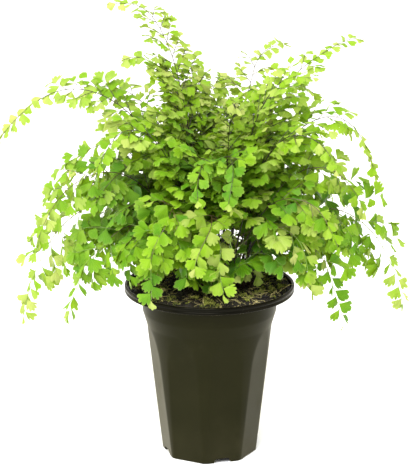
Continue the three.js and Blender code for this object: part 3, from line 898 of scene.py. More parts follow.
    def draw(self, draft):
        """Adds the rachis, the ribs, the stalks and the leaflets to a piece."""
        shares = np.linspace(0, 1, 41)
        places, _, normals = self.spine.at(shares)
        radii = np.interp(shares, [0, 1], self.RACHIS_RADII)
        greening = min(0.85, 1.3 * self.outlook)
        age = 1.05 - greening * smoothstep(shares, 0.2, 0.6) - 0.3 * shares**2
        draft.add_tubes(places[None], radii[None], normals[:1], 8, STEM_SLOT, age[None])
        for ribs, thick in zip(self.ribs, self.RIB_RADII):
            if ribs:
                places = np.array([rib[0] for rib in ribs])
                side = np.array([rib[2][0] for rib in ribs])
                points = places.shape[1]
                radii = np.broadcast_to(np.linspace(thick, thick * 0.6, points), places.shape[:2])
                age = 0.9 - greening + np.linspace(0.06, -0.12, points)
                draft.add_tubes(places, radii, side, 4, STEM_SLOT, age)
        *corners, normals = (np.array(part) for part in zip(*self.stalks))
        places = np.stack(corners, 1)
        radii = np.broadcast_to(self.STALK_RADII, places.shape[:2])
        draft.add_tubes(places, radii, normals, 3, STEM_SLOT, 0.75 - greening)
        self.leaflets.draw(draft)


# Pot


def body_radius(z):
    """Radius of the wall's outside at height z, where it is round."""
    levels = [0, ARCH_TOP_Z, BAND_Z, RIM_FOOT_Z, POT_HEIGHT]
    return np.interp(z, levels, [BASE_RADIUS, ARCH_RADIUS, BAND_RADIUS, NECK_RADIUS, NECK_RADIUS])


def facet_half(z):
    """Half the angle that a facet covers at height z, which closes to an arch below the band."""
    foot = np.interp(z, [0, ARCH_FOOT_Z], [FACET_HALF_BASE, FACET_HALF_ARCH])
    rise = np.clip((z - ARCH_FOOT_Z) / (ARCH_TOP_Z - ARCH_FOOT_Z), 0, 1)
    return foot * np.sqrt(1 - rise**2)


def level_at(z, radius, azimuths):
    """A ring of points at one height, with a radius for all or for each."""
    turns = np.radians(azimuths)
    return np.stack([radius * np.cos(turns), radius * np.sin(turns), np.full(len(turns), z)], -1)


def azimuths_of(columns):
    return FACET_TURN + np.arange(columns) * 360 / columns


def round_level(z, radius, columns=POT_COLUMNS):
    return level_at(z, radius, azimuths_of(columns))


def pot_level(z, radius, columns=POT_COLUMNS):
    """The wall at one height: round, and flat across each facet, with softly rounded corners."""
    half = math.radians(facet_half(z))
    if half == 0:
        return round_level(z, radius, columns)
    turn = 360 / FACETS
    azimuths = azimuths_of(columns)
    off = np.radians((azimuths - FACET_TURN + turn / 2) % turn - turn / 2)
    flat = radius * math.cos(half) / np.cos(off)
    wall = -CORNER_SOFTNESS * np.logaddexp(-radius / CORNER_SOFTNESS, -flat / CORNER_SOFTNESS)
    return level_at(z, wall, azimuths)


def closed_levels(levels):
    """Points and faces of a closed surface through rings of points, from its foot to its end."""
    levels = np.array(levels)
    rows, columns = levels.shape[:2]
    middles = [levels[0].mean(axis=0), levels[-1].mean(axis=0)]
    points = np.concatenate([levels.reshape(-1, 3), middles])
    here = np.arange(columns)
    after = (here + 1) % columns
    steps = np.arange(rows - 1)[:, None] * columns
    quads = np.stack([here + steps, after + steps, after + steps + columns, here + steps + columns], -1)
    last = (rows - 1) * columns
    foot = np.stack([np.full(columns, rows * columns), after, here], -1)
    end = np.stack([np.full(columns, rows * columns + 1), here + last, after + last], -1)
    return points, [quads.reshape(-1, 4), foot, end]


def pot_levels():
    """The pot from the middle of its underside, up the wall, round the rim and down to its floor."""
    # Heights and radii under the pot, and heights and insets of the wall's rounded foot
    underside = [(1.2, MIDDLE_RING), (1.2, 27.2), (1.05, 27.9), (0.3, 28.4), (0.0, 28.9)]
    foot = [(0.0, -1.1), (0.1, -0.6), (0.35, -0.22), (0.8, 0.0)]
    heights = [
        *np.linspace(2, ARCH_FOOT_Z, 24),
        *np.linspace(ARCH_FOOT_Z + 1, BAND_Z, 40),
        *np.linspace(BAND_Z + 1, RIM_FOOT_Z - 1, 10),
    ]
    # Heights and radii from the band over the rim's two beads and its top to the shelf inside
    shelf, top, rim = RIM_FOOT_Z, POT_HEIGHT, RIM_RADIUS
    bead = [
        (shelf - 0.3, NECK_RADIUS + 0.1),
        (shelf, NECK_RADIUS + 0.7),
        (shelf + 0.05, rim - 2.4),
        (shelf + 0.1, rim - 0.9),
        (shelf + 0.35, rim - 0.35),
        (shelf + 0.8, rim - 0.1),
        (shelf + 1.5, rim - 0.15),
        (shelf + 2.0, rim - 0.55),
        (shelf + 2.4, rim - 0.7),
        (shelf + 2.8, rim - 0.55),
        (shelf + 3.2, rim - 0.15),
        (shelf + 3.9, rim),
        (top - 0.8, rim - 0.05),
        (top - 0.3, rim - 0.35),
        (top - 0.05, rim - 0.8),
        (top, rim - 1.15),
        (top - 0.1, rim - 1.6),
        (top - 0.5, rim - 2.0),
        (top - 1.2, rim - RIM_THICK),
        (SHELF_Z + 0.5, rim - RIM_THICK - 0.1),
        (SHELF_Z, rim - RIM_THICK - 0.7),
        (SHELF_Z, NECK_RADIUS - 1.2),
        (SHELF_Z - 0.3, NECK_RADIUS - WALL),
    ]
    inside = np.linspace(SHELF_Z - 4, FLOOR + 1, 24)
    return [
        *(round_level(z, radius) for z, radius in underside),
        *(pot_level(z, body_radius(z) + inset) for z, inset in foot),
        *(pot_level(z, body_radius(z)) for z in heights),
        *(round_level(z, radius) for z, radius in bead),
        *(pot_level(z, body_radius(z) - WALL) for z in inside),
        pot_level(FLOOR, body_radius(FLOOR) - WALL - 0.8),
        round_level(FLOOR, MIDDLE_RING),
    ]


def notch_cutter(azimuth):
    """The prism that cuts a notch with round shoulders out of the foot of the wall."""
    half = NOTCH_WIDTH / 2
    crest = half - NOTCH_SHOULDER
    # A shoulder is a curve that leaves the foot upwards and arrives level
    t = np.linspace(0, 1, 9)
    x = (1 - t) ** 2 * half + 2 * t * (1 - t) * half + t**2 * crest
    z = (1 - t) ** 2 * -NOTCH_HEIGHT + 2 * t * (1 - t) * NOTCH_HEIGHT + t**2 * NOTCH_HEIGHT
    x, z = np.concatenate([x, -x[::-1]]), np.concatenate([z, z[::-1]])
    out = outward(azimuth)
    side = np.cross(UP, out)
    ends = [
        out * radius + side * x[:, None] + UP * z[:, None]
        for radius in (BASE_RADIUS - NOTCH_REACH, BASE_RADIUS + NOTCH_REACH)
    ]
    return closed_levels(ends)


def cut_out(piece, cutter):
    """Takes a cutter's volume out of a piece, and the cutter out of the scene."""
    cut = piece.modifiers.new("notches", "BOOLEAN")
    cut.operation = "DIFFERENCE"
    cut.solver = "EXACT"
    cut.object = cutter
    bpy.context.view_layer.update()
    whole = piece.data
    graph = bpy.context.evaluated_depsgraph_get()
    piece.data = bpy.data.meshes.new_from_object(piece.evaluated_get(graph))
    piece.modifiers.clear()
    bpy.data.objects.remove(cutter)
    bpy.data.meshes.remove(whole)


# Soil, moss and crown


class Ripple:
    """Smooth noise over a plane, about 1 high, from waves of nearly one length in all directions."""

    def __init__(self, size, seed, waves=28):
        rng = np.random.default_rng(seed)
        turn = rng.random(waves) * 2 * np.pi
        pace = 2 * np.pi / (size * rng.uniform(0.6, 1.7, waves))
        self.pace = np.stack([np.cos(turn), np.sin(turn)], -1) * pace[:, None]
        self.phase = rng.random(waves) * 2 * np.pi
        self.scale = math.sqrt(2 / waves)

    def at(self, x, y):
        wave = np.asarray(x)[..., None] * self.pace[:, 0] + np.asarray(y)[..., None] * self.pace[:, 1]
        return self.scale * np.sin(wave + self.phase).sum(axis=-1)


SWELL = Ripple(22.0, 31)
CLODS = Ripple(7.0, 32)
CRUMBS = Ripple(2.6, 33)
GRIT = Ripple(1.3, 34)
# The soil has sunk along the rim about this azimuth, where the shelf shows
SUNK_TURN = 172.0
SUNK_DEPTH = 1.4


def sinking(x, y):
    """How far the soil has sunk, from 0 to 1, near the part of the rim where the shelf shows."""
    turn = np.degrees(np.arctan2(y, x)) - SUNK_TURN
    turn = (turn + 180) % 360 - 180
    return np.exp(-((turn / 34) ** 2)) * smoothstep(np.hypot(x, y), 46, 57)


def ground_height(x, y):
    """Height of the soil's uneven top, in mm."""
    share = np.hypot(x, y) / SOIL_RADIUS
    dome = SOIL_EDGE_Z + SOIL_RISE * (1 - share**2)
    rough = 0.5 * SWELL.at(x, y) + 0.55 * CLODS.at(x, y)
    rough = rough + 0.34 * np.abs(CRUMBS.at(x, y)) + 0.12 * GRIT.at(x, y)
    rim = smoothstep(share, 0.93, 1.01)
    return dome + rough * (1 - 0.6 * rim) - 0.7 * rim - SUNK_DEPTH * sinking(x, y)


def soil_levels():
    """The soil from the middle of its foot, up inside the wall, over the shelf and across its top."""
    foot = FLOOR + GAP
    levels = [round_level(foot, MIDDLE_RING, SOIL_COLUMNS)]
    for z in np.linspace(foot, SHELF_Z - 1, 20):
        levels.append(pot_level(z, body_radius(z) - WALL - GAP, SOIL_COLUMNS))
    for radius in (NECK_RADIUS - WALL - GAP, SOIL_RADIUS):
        levels.append(round_level(SHELF_Z + GAP, radius, SOIL_COLUMNS))
    for radius in np.linspace(SOIL_RADIUS + 0.5, 1.0, 84):
        level = round_level(0, radius, SOIL_COLUMNS)
        level[:, 2] = ground_height(level[:, 0], level[:, 1])
        levels.append(level)
    return levels


# Edges between crumbs' faces that meet at more than this many degrees are drawn sharp
CRUMB_SHARP_ANGLE = 30.0
# A crumb starts from twenty triangles: a top corner, two rings of five and a bottom corner
RING_RISE = 0.46
RING_STEP = 1.2566
LOW_RING_TURN = 0.628
CRUMB_RINGS = (
    (math.pi / 2, 0, 1),
    (RING_RISE, 0, 5),
    (-RING_RISE, LOW_RING_TURN, 5),
    (-math.pi / 2, 0, 1),
)
CRUMB_CORNERS = np.array(
    [
        [math.cos(turn) * math.cos(rise), math.sin(turn) * math.cos(rise), math.sin(rise)]
        for rise, first, corners in CRUMB_RINGS
        for turn in first + np.arange(corners) * RING_STEP
    ]
)
CRUMB_FACES = np.array(
    [(0, 1 + i, 1 + (i + 1) % 5) for i in range(5)]
    + [(1 + i, 6 + i, 1 + (i + 1) % 5) for i in range(5)]
    + [(1 + (i + 1) % 5, 6 + i, 6 + (i + 1) % 5) for i in range(5)]
    + [(11, 6 + (i + 1) % 5, 6 + i) for i in range(5)]
)


def scatter(count, low, high, rng):
    """Places on the soil between two distances from its middle, as many on each stretch of it."""
    radius = np.sqrt(rng.uniform(low**2, high**2, count))
    turn = rng.uniform(-np.pi, np.pi, count)
    x, y = radius * np.cos(turn), radius * np.sin(turn)
    return np.stack([x, y, ground_height(x, y)], -1)


def turned_ways(count, rng):
    """Three directions for each of count pieces, square to each other and turned by chance."""
    first = unit(rng.normal(size=(count, 3)))
    second = across(rng.normal(size=(count, 3)), first)
    return first, second, np.cross(first, second)


def add_crumbs(draft, places, sizes, age, slot, rng):
    """Angular crumbs, each with its own shape and turn."""
    count = len(places)
    ways = turned_ways(count, rng)
    shape = CRUMB_CORNERS[None] * rng.uniform(0.7, 1.25, (count, len(CRUMB_CORNERS), 1))
    shape = shape * rng.uniform(0.45, 1.15, (count, 1, 3))
    points = sum(shape[..., i : i + 1] * way[:, None] for i, way in enumerate(ways))
    points = places[:, None] + points * sizes[:, None, None]
    draft.add_copies(points, [CRUMB_FACES], slot, age[:, None])


def add_fibres(draft, places, lengths, thickness, age, slot, rng, rise):
    """Thin bent strands that lie on the soil, or stand off it by up to their length times rise."""
    count = len(places)
    steps = 6
    turn = rng.uniform(0, 2 * np.pi, count)
    heading = np.stack([np.cos(turn), np.sin(turn), rng.uniform(-0.02, rise, count)], -1)
    bend = rng.normal(size=(count, 3)) * [0.6, 0.6, 0.25]
    t = np.linspace(0, 1, steps)[None, :, None]
    strand = heading[:, None] * t + bend[:, None] * (t**2 - t) * 0.7
    path = places[:, None] + lengths[:, None, None] * strand
    lowest = ground_height(path[..., 0], path[..., 1]) + thickness[:, None] * 0.4
    path[..., 2] = np.maximum(path[..., 2], lowest)
    radii = thickness[:, None] * np.linspace(1, 0.6, steps)
    draft.add_tubes(path, radii, np.broadcast_to(UP, (count, 3)), 4, slot, age[:, None])


def add_moss(draft, middles, spreads, blades, slot, rng):
    """Tufts of moss: short blades, widest half way up, that lean out of each tuft's middle."""
    count = len(middles) * blades
    middle = np.repeat(middles, blades, axis=0)
    spread = np.repeat(spreads, blades)
    off = rng.normal(size=(count, 2)) * 0.45
    root = middle.copy()
    root[:, :2] += off * spread[:, None]
    root[:, 2] = ground_height(root[:, 0], root[:, 1]) - 0.2
    lean = np.concatenate([off * 0.8 + rng.normal(size=(count, 2)) * 0.5, np.ones((count, 1))], 1)
    lean = unit(lean)
    length = rng.uniform(0.9, 2.3, count) * (1.15 - 0.3 * np.linalg.norm(off, axis=1))
    side = across(rng.normal(size=(count, 3)), lean) * (0.22 * length[:, None])
    bow = across(rng.normal(size=(count, 3)), lean) * (0.12 * length[:, None])
    waist = root + lean * length[:, None] * 0.5 + bow
    tip = root + lean * length[:, None]
    points = np.stack([root - side * 0.5, root + side * 0.5, waist + side, waist - side, tip], 1)
    faces = [np.array([[0, 1, 2, 3]]), np.array([[3, 2, 4]])]
    # Age here runs up the blade: 0 for painted shade at its foot, 1 for painted light at its tip
    age = np.array([0.0, 0.0, 0.55, 0.55, 1.0])[None] * rng.uniform(0.5, 1.0, (count, 1))
    draft.add_copies(points, faces, slot, age)


def crown_height(share):
    """Height of the crown's top without its lumps, at a share of its radius."""
    room_for_lumps, fall = 1.1, 1.5
    return CROWN_TOP - room_for_lumps - fall * share**4


def crown_levels():
    """The cushion of rhizomes: sides that sink into the soil and a lumpy top."""
    knobs = Ripple(9.0, 41)
    knurls = Ripple(3.2, 42)
    sides = [(-CROWN_DEPTH, 0.86), (-11.0, 1.0), (-6.0, 1.0), (-4.2, 0.985), (-3.0, 0.955)]
    levels = [round_level(CROWN_TOP + drop, CROWN_RADIUS * share, CROWN_COLUMNS) for drop, share in sides]
    for share in np.linspace(0.93, 0.03, 40):
        level = round_level(0, CROWN_RADIUS * share, CROWN_COLUMNS)
        x, y = level[:, 0], level[:, 1]
        lumps = 0.75 * knobs.at(x, y) + 0.35 * np.abs(knurls.at(x, y))
        level[:, 2] = crown_height(share) + lumps * (1 - share**6)
        levels.append(level)
    levels = np.array(levels)
    levels[..., 0] += CROWN_X
    return levels


def add_old_stalks(draft, count, slot, rng):
    """Bare stalks of former fronds: broken off low, and leaning every way between the stems."""
    turn = rng.uniform(-np.pi, np.pi, count)
    radius = CROWN_RADIUS * np.sqrt(rng.random(count)) * 0.92
    out = np.stack([np.cos(turn), np.sin(turn), np.zeros(count)], -1)
    foot = out * radius[:, None] + [CROWN_X, 0, CROWN_TOP - 3]
    lean = out * (0.1 + 0.5 * radius / CROWN_RADIUS)[:, None] + rng.normal(size=(count, 3)) * 0.12
    height = rng.uniform(12, 58, count) * (0.5 + 0.5 * rng.random(count))
    steps = 7
    t = np.linspace(0, 1, steps)[None, :, None]
    stalk = UP * t + lean[:, None] * t**1.5 + rng.normal(size=(count, 1, 3)) * 0.06 * (t**2 - t)
    path = foot[:, None] + height[:, None, None] * stalk
    radii = rng.uniform(0.22, 0.5, (count, 1)) * np.linspace(1, 0.7, steps)
    # Not quite upright, so that it is along no stalk
    side = np.broadcast_to([0.0, 0.1, 1.0], (count, 3))
    draft.add_tubes(path, radii, side, 5, slot, np.full((count, steps), 1.0))


def add_crozier(draft, foot, out, height, coil, slot, rng):
    """A young frond that is still rolled up: a hairy stalk with a spiral at its end."""
    stalk_steps, coil_steps, hairs = 14, 60, 90
    side = np.cross(UP, out)
    t = np.linspace(0, 1, stalk_steps)[:, None]
    stalk = foot + UP * height * t + out * height * 0.18 * t**2
    turn = np.linspace(0, 4.6 * np.pi, coil_steps)
    wound = turn / turn[-1]
    radius = coil * (1 - 0.86 * wound)
    middle = stalk[-1] + out * coil
    spiral = middle - out * (np.cos(turn) * radius)[:, None] + UP * (np.sin(turn) * radius)[:, None]
    spiral += side * wound[:, None] * coil * 0.35
    path = np.concatenate([stalk, spiral[1:]])
    thick = np.concatenate([np.full(stalk_steps, 0.62), np.linspace(0.66, 0.3, coil_steps - 1)])
    age = np.concatenate([np.linspace(0.3, 0.12, stalk_steps), np.full(coil_steps - 1, 0.04)])
    draft.add_tubes(path[None], thick[None], side[None], 8, slot, age[None])
    roots = path[rng.integers(2, coil_steps, hairs)] + rng.normal(size=(hairs, 3)) * 0.3
    ends = roots + unit(rng.normal(size=(hairs, 3))) * 0.9
    upward = np.broadcast_to(UP, (hairs, 3))
    draft.add_tubes(np.stack([roots, ends], 1), np.full((hairs, 2), 0.05), upward, 3, slot, PLAIN_AGE)


# A row's name and its fronds; the distance of their feet from the crown's axis; where the blade
# starts, as a share of the stem; the length of a leaflet; the length of the lowest side rib, as a
# share of the blade's; outlook and sag, as in Frond; and the age of the lowest leaflets
Row = namedtuple("Row", "name fronds foot start leaf_length width outlook sag age")
ROWS = [
    Row("spire", SPIRES, 6.0, 0.42, 9.3, 0.38, 0.16, 0.01, 0.52),
    Row("arch", ARCHES, 11.0, 0.34, 10.7, 0.385, 0.3, 0.013, 0.66),
    Row("spray", SPRAYS, 15.6, 0.28, 12.8, 0.4, 0.5, 0.016, 0.84),
    Row("skirt", SKIRTS, 20.0, 0.25, 13.4, 0.4, 0.66, 0.017, 0.96),
    Row("veil", VEILS, 24.4, 0.28, 13.2, 0.42, 0.7, 0.018, 0.95),
]
# How far the ages of a row's fronds lie apart at most
AGE_SPREAD = 0.4
# Fronds with an age of their own, in place of one by chance near their row's
OWN_AGES = {
    "arch_01": 0.6,
    "arch_04": 0.95,
    "arch_05": 1.0,
    "spray_04": 0.5,
    "skirt_04": 0.36,
    "skirt_05": 0.34,
    "veil_05": 0.5,
}


def finish_piece(piece, slot, *nodes):
    """Says what a piece rides on, and hides the solids that it stands for; slot is not used."""
    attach(piece, "root")
    if nodes:
        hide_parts(*nodes)


# Azimuth, foot radius, height and coil radius of each crozier
CROZIERS = [
    (-104, 24, 21, 2.3),
    (-62, 22, 27, 2.0),
    (-150, 23, 17, 1.8),
    (-20, 25, 19, 2.1),
    (70, 22, 24, 2.2),
]
# Young fronds follow each other round the crown by this many degrees
GOLDEN_TURN = 137.5
# The first keys for draws of the sprouts and of the inner fronds
SPROUT_KEYS = 200
INNER_KEYS = 240
PALE_AGE = 0.28
SHADED_AGE = 0.96


def sprout_at(i):
    """A small low frond in the shade of the others; one in three is still pale."""
    key = SPROUT_KEYS + i
    tip = 134 + 20 * drawn(key, TIP)
    reach = 34 + 16 * drawn(key, REACH)
    arch = tip + 8 + 14 * drawn(key, ARCH)
    spine = Spine((i * GOLDEN_TURN - 96, reach, tip, arch, 0.62), 13 + 12 * drawn(key, FOOT), 0.34, key)
    length = 10.5 + 2.5 * drawn(key, LEAF_LENGTH)
    age = PALE_AGE if i % 3 == 0 else SHADED_AGE
    return Frond(spine, length, width=0.46, outlook=0.5, sag=0.02, key=key, age=age, keeps_clear=False)


def inner_frond_at(i):
    """A young upright frond that fills the middle of the plant."""
    key = INNER_KEYS + i
    tip = 204 + 30 * drawn(key, TIP)
    reach = 2 + 4 * i
    spine = Spine((i * GOLDEN_TURN + 20, reach, tip, tip + 6, 0.6), 5 + 8 * drawn(key, FOOT), 0.55, key)
    return Frond(spine, 11.0, width=0.55, outlook=0.16, sag=0.01, key=key, age=0.66)


# Settings


def colour_setting(name, description, colour):
    default = (*colour, 1.0)
    return bpy.props.FloatVectorProperty(
        name=name, description=description, subtype="COLOR", size=4, min=0, max=1, default=default
    )


def count_setting(name, description, default):
    return bpy.props.IntProperty(name=name, description=description, default=default, min=0)


def light_setting(name, description, default):
    return bpy.props.FloatProperty(name=name, description=description, default=default, min=0)


class FERN_PG_foliage(bpy.types.PropertyGroup):
    """Sizes, numbers and colours of the fronds."""

    leaf_size: bpy.props.FloatProperty(
        name="Leaf size",
        description="Size of the leaflets, as a share of this plant's",
        default=1.0,
        min=0.6,
        max=1.4,
        subtype="FACTOR",
    )
    sprouts: count_setting("Sprouts", "Small low fronds in the shade", 18)
    inner_fronds: count_setting("Inner fronds", "Young upright fronds in the middle", 6)
    young: colour_setting("Young", "Growing tips", (0.39, 0.43, 0.13))
    grown: colour_setting("Grown", "Leaflets in full growth", (0.162, 0.306, 0.009))
    mature: colour_setting("Mature", "Lower leaflets", (0.048, 0.164, 0.002))
    old: colour_setting("Old", "Oldest leaflets", (0.022, 0.092, 0.003))
    cool: colour_setting("Cool", "Bluish patches among older leaflets", (0.035, 0.152, 0.022))
    vein: colour_setting("Veins", "Fine veins", (0.248, 0.359, 0.0552))
    glow: colour_setting("Glow", "Light that comes through a leaflet", (0.3, 0.45, 0.014))
    stem: colour_setting("Stem", "Wiry stems", (0.0152, 0.0076, 0.0055))
    stem_tip: colour_setting("Stem tip", "Where a stem still grows", (0.0759, 0.0517, 0.0138))
    shoot: colour_setting("Shoot", "Growing end of a stem", (0.138, 0.228, 0.0345))
    translucence: bpy.props.FloatProperty(
        name="Translucence",
        description="Share of light that goes through a leaflet",
        default=0.27,
        min=0,
        max=1,
        subtype="FACTOR",
    )


class FERN_PG_pot(bpy.types.PropertyGroup):
    """Colours of the pot."""

    plastic: colour_setting("Plastic", "Dark olive plastic", (0.0065, 0.0068, 0.002))
    plastic_light: colour_setting("Light plastic", "Paler mottling", (0.011, 0.0107, 0.0038))
    dust: colour_setting("Dust", "Dust and rubbed patches", (0.04, 0.036, 0.02))
    # Painted shade: near black laid over the rim and the band just below it, darker than the plastic
    # itself
    rim: colour_setting("Rim", "Polished plastic of the rim", (0.0021, 0.0021, 0.0014))


class FERN_PG_ground(bpy.types.PropertyGroup):
    """Numbers and colours of what lies on the soil, and the soil's own colours."""

    crumbs: count_setting("Crumbs", "Angular crumbs of peat and bark", 1500)
    fibres: count_setting("Fibres", "Bark fibres on the soil", 560)
    tufts: count_setting("Tufts", "Tufts of moss, before those in hollows are left out", 150)
    blades: count_setting("Blades", "Blades in a tuft of moss", 60)
    scales: count_setting("Scales", "Brown scales on the crown", 1000)
    old_stalks: count_setting("Old stalks", "Bare stalks of former fronds", 210)
    peat: colour_setting("Peat", "Damp peat", (0.0024, 0.002, 0.0012))
    bark: colour_setting("Bark", "Bark crumbs", (0.013, 0.0082, 0.0042))
    chaff: colour_setting("Chaff", "Pale crumbs", (0.07, 0.056, 0.026))
    straw: colour_setting("Straw", "Dry fibres", (0.72, 0.62, 0.26))
    moss_foot: colour_setting("Moss foot", "Shaded moss", (0.0207, 0.031, 0.0041))
    moss: colour_setting("Moss", "Moss", (0.2, 0.23, 0.03))
    moss_tip: colour_setting("Moss tips", "Lit moss", (0.8, 0.76, 0.2))


class FERN_PG_stage(bpy.types.PropertyGroup):
    """Floor and light."""

    floor: colour_setting("Floor", "Pale floor", (0.82, 0.835, 0.88))
    behind: light_setting("Behind", "Strength of the light from behind", 1.2)
    before: light_setting("Before", "Strength of the light from the front", 1.0)
    left: light_setting("Left", "Strength of the light from the left wall", 3.2)
    right: light_setting("Right", "Strength of the light from the right wall", 1.8)
    warm: colour_setting("Warm", "Colour of the light from both walls", (1.0, 0.93, 0.64))
    key: bpy.props.FloatProperty(
        name="Key", description="Power of the softbox above the viewer", default=88.0, min=0, unit="POWER"
    )


# Operators


class FERN_OT_fronds(bpy.types.Operator):
    """Makes every frond, with its rachis, ribs, stalks and leaflets"""

    bl_idname = "fern.fronds"
    bl_label = "Fronds"

    def execute(self, context):
        foliage = context.scene.fern_foliage
        finishes = [leaflet_finish(foliage), stem_finish(foliage)]
        for number, row in enumerate(ROWS):
            for i, shape in enumerate(row.fronds):
                key = number * KEYS_PER_ROW + i
                label = f"{row.name}_{i + 1:02d}"
                age = OWN_AGES.get(label, row.age + AGE_SPREAD * (drawn(key, AGE) - 0.5))
                spine = Spine(shape, row.foot, row.start, key)
                length = row.leaf_length * foliage.leaf_size
                frond = Frond(spine, length, row.width, row.outlook, row.sag, key, age)
                frond.grow(-1 if drawn(key, HAND) < 0.5 else 1)
                draft = Draft()
                frond.draw(draft)
                piece = draft.build(f"maidenhair_{label}", finishes)
                finish_piece(piece, "frond_green", f"frond_{label}")
        return {"FINISHED"}


class FERN_OT_pot(bpy.types.Operator):
    """Makes the pot, with its facets, rim, shelf and notched foot"""

    bl_idname = "fern.pot"
    bl_label = "Pot"

    def execute(self, context):
        draft = Draft()
        draft.add(*closed_levels(pot_levels()))
        pot = draft.build("moulded_pot", [plastic_finish(context.scene.fern_pot)])
        cutters = Draft()
        for i in range(NOTCHES):
            cutters.add(*notch_cutter(FACET_TURN + i * 360 / NOTCHES))
        cut_out(pot, cutters.build("notch_cutters", []))
        pot.data.set_sharp_from_angle(angle=math.radians(POT_SHARP_ANGLE))
        finish_piece(pot, "pot_plastic", "pot")
        return {"FINISHED"}


class FERN_OT_ground(bpy.types.Operator):
    """Makes the soil, and the crumbs, fibres and moss that lie on it"""

    bl_idname = "fern.ground"
    bl_label = "Ground"

    def execute(self, context):
        ground = context.scene.fern_ground
        soil = Draft()
        soil.add(*closed_levels(soil_levels()))
        piece = soil.build("damp_soil", [earth_finish(ground)])
        finish_piece(piece, "potting_soil", "soil")
        rng = np.random.default_rng(51)
        self.strew(ground, rng)
        self.plant_moss(ground, rng)
        return {"FINISHED"}

    @staticmethod
    def strew(ground, rng):
        """Crumbs over the soil, most of them small, and fibres away from the crown."""
        litter = Draft()
        count = ground.crumbs
        crumbs = scatter(count, 20, SOIL_RADIUS - 0.6, rng)
        sizes = 0.45 + 1.5 * rng.random(count) ** 3
        add_crumbs(litter, crumbs, sizes, 0.75 * rng.random(count) ** 2, 0, rng)
        count = ground.fibres
        strands = scatter(count, 28, SOIL_RADIUS - 3, rng)
        thick = 0.12 + 0.26 * rng.random(count) ** 2
        lengths = rng.uniform(2, 9, count)
        add_fibres(litter, strands, lengths, thick, rng.random(count) ** 0.7, 0, rng, 0.5)
        piece = litter.build("crumbs_and_fibres", [strand_finish(ground)])
        piece.data.set_sharp_from_angle(angle=math.radians(CRUMB_SHARP_ANGLE))
        finish_piece(piece, "potting_soil")

    @staticmethod
    def plant_moss(ground, rng):
        """Moss near the rim, where the soil doesn't lie in a hollow."""
        moss = Draft()
        tufts = scatter(ground.tufts, 34, SOIL_RADIUS - 1.5, rng)
        x, y = tufts[:, 0], tufts[:, 1]
        tufts = tufts[CLODS.at(x, y) + SWELL.at(x, y) > -0.6]
        add_moss(moss, tufts, rng.uniform(1.0, 3.4, len(tufts)), ground.blades, 0, rng)
        finish_piece(moss.build("moss_tufts", [moss_finish(ground)]), "frond_green")


class FERN_OT_crown(bpy.types.Operator):
    """Makes the crown of rhizomes, with its scales and the stalks of former fronds"""

    bl_idname = "fern.crown"
    bl_label = "Crown"

    def execute(self, context):
        ground = context.scene.fern_ground
        foliage = context.scene.fern_foliage
        finishes = [earth_finish(ground), strand_finish(ground), stem_finish(foliage)]
        strand_slot, stalk_slot = 1, 2
        crown = Draft()
        crown.add(*closed_levels(crown_levels()))
        rng = np.random.default_rng(61)
        count = ground.scales
        share = np.sqrt(rng.random(count))
        turn = rng.uniform(-np.pi, np.pi, count)
        x = CROWN_X + CROWN_RADIUS * share * np.cos(turn)
        y = CROWN_RADIUS * share * np.sin(turn)
        places = np.stack([x, y, crown_height(share) + rng.uniform(-0.3, 0.5, count)], -1)
        age = 0.2 + 0.5 * rng.random(count)
        lengths = rng.uniform(1.2, 4.2, count)
        add_fibres(crown, places, lengths, np.full(count, 0.09), age, strand_slot, rng, 0.7)
        add_old_stalks(crown, ground.old_stalks, stalk_slot, rng)
        finish_piece(crown.build("scaly_crown", finishes), "rhizome", "crown")
        return {"FINISHED"}


class FERN_OT_sprouts(bpy.types.Operator):
    """Makes the small low fronds, the young ones in the middle and the croziers"""

    bl_idname = "fern.sprouts"
    bl_label = "Sprouts"

    def execute(self, context):
        foliage = context.scene.fern_foliage
        low = Draft()
        young = [sprout_at(i) for i in range(foliage.sprouts)]
        young += [inner_frond_at(i) for i in range(foliage.inner_fronds)]
        for i, frond in enumerate(young):
            frond.leaf_length *= foliage.leaf_size
            frond.grow(-1 if i % 2 else 1)
            frond.draw(low)
        rng = np.random.default_rng(71)
        for azimuth, foot, height, coil in CROZIERS:
            out = outward(azimuth)
            place = out * foot + [CROWN_X, 0, CROWN_TOP - 3]
            add_crozier(low, place, out, height, coil, STEM_SLOT, rng)
        piece = low.build("low_sprouts", [leaflet_finish(foliage), stem_finish(foliage)])
        finish_piece(piece, "frond_green")
        return {"FINISHED"}


# The photograph's view, from two metres away and a little above
CAMERA_PLACE = (-0.0021, -2.0, 0.744)
CAMERA_PITCH = 16.3
# The focal length in pixels of the photograph, and the photograph's height in pixels
FOCAL_LENGTH_PX = 2968
PHOTO_HEIGHT_PX = 470
SENSOR_MM = 36.0
SOFTBOX_PLACE = (-0.35, -1.45, 1.85)
SOFTBOX_TURN = (43, 0, -14)
SOFTBOX_SIZE = (1.5, 1.2)
FLOOR_HALF = 6.0


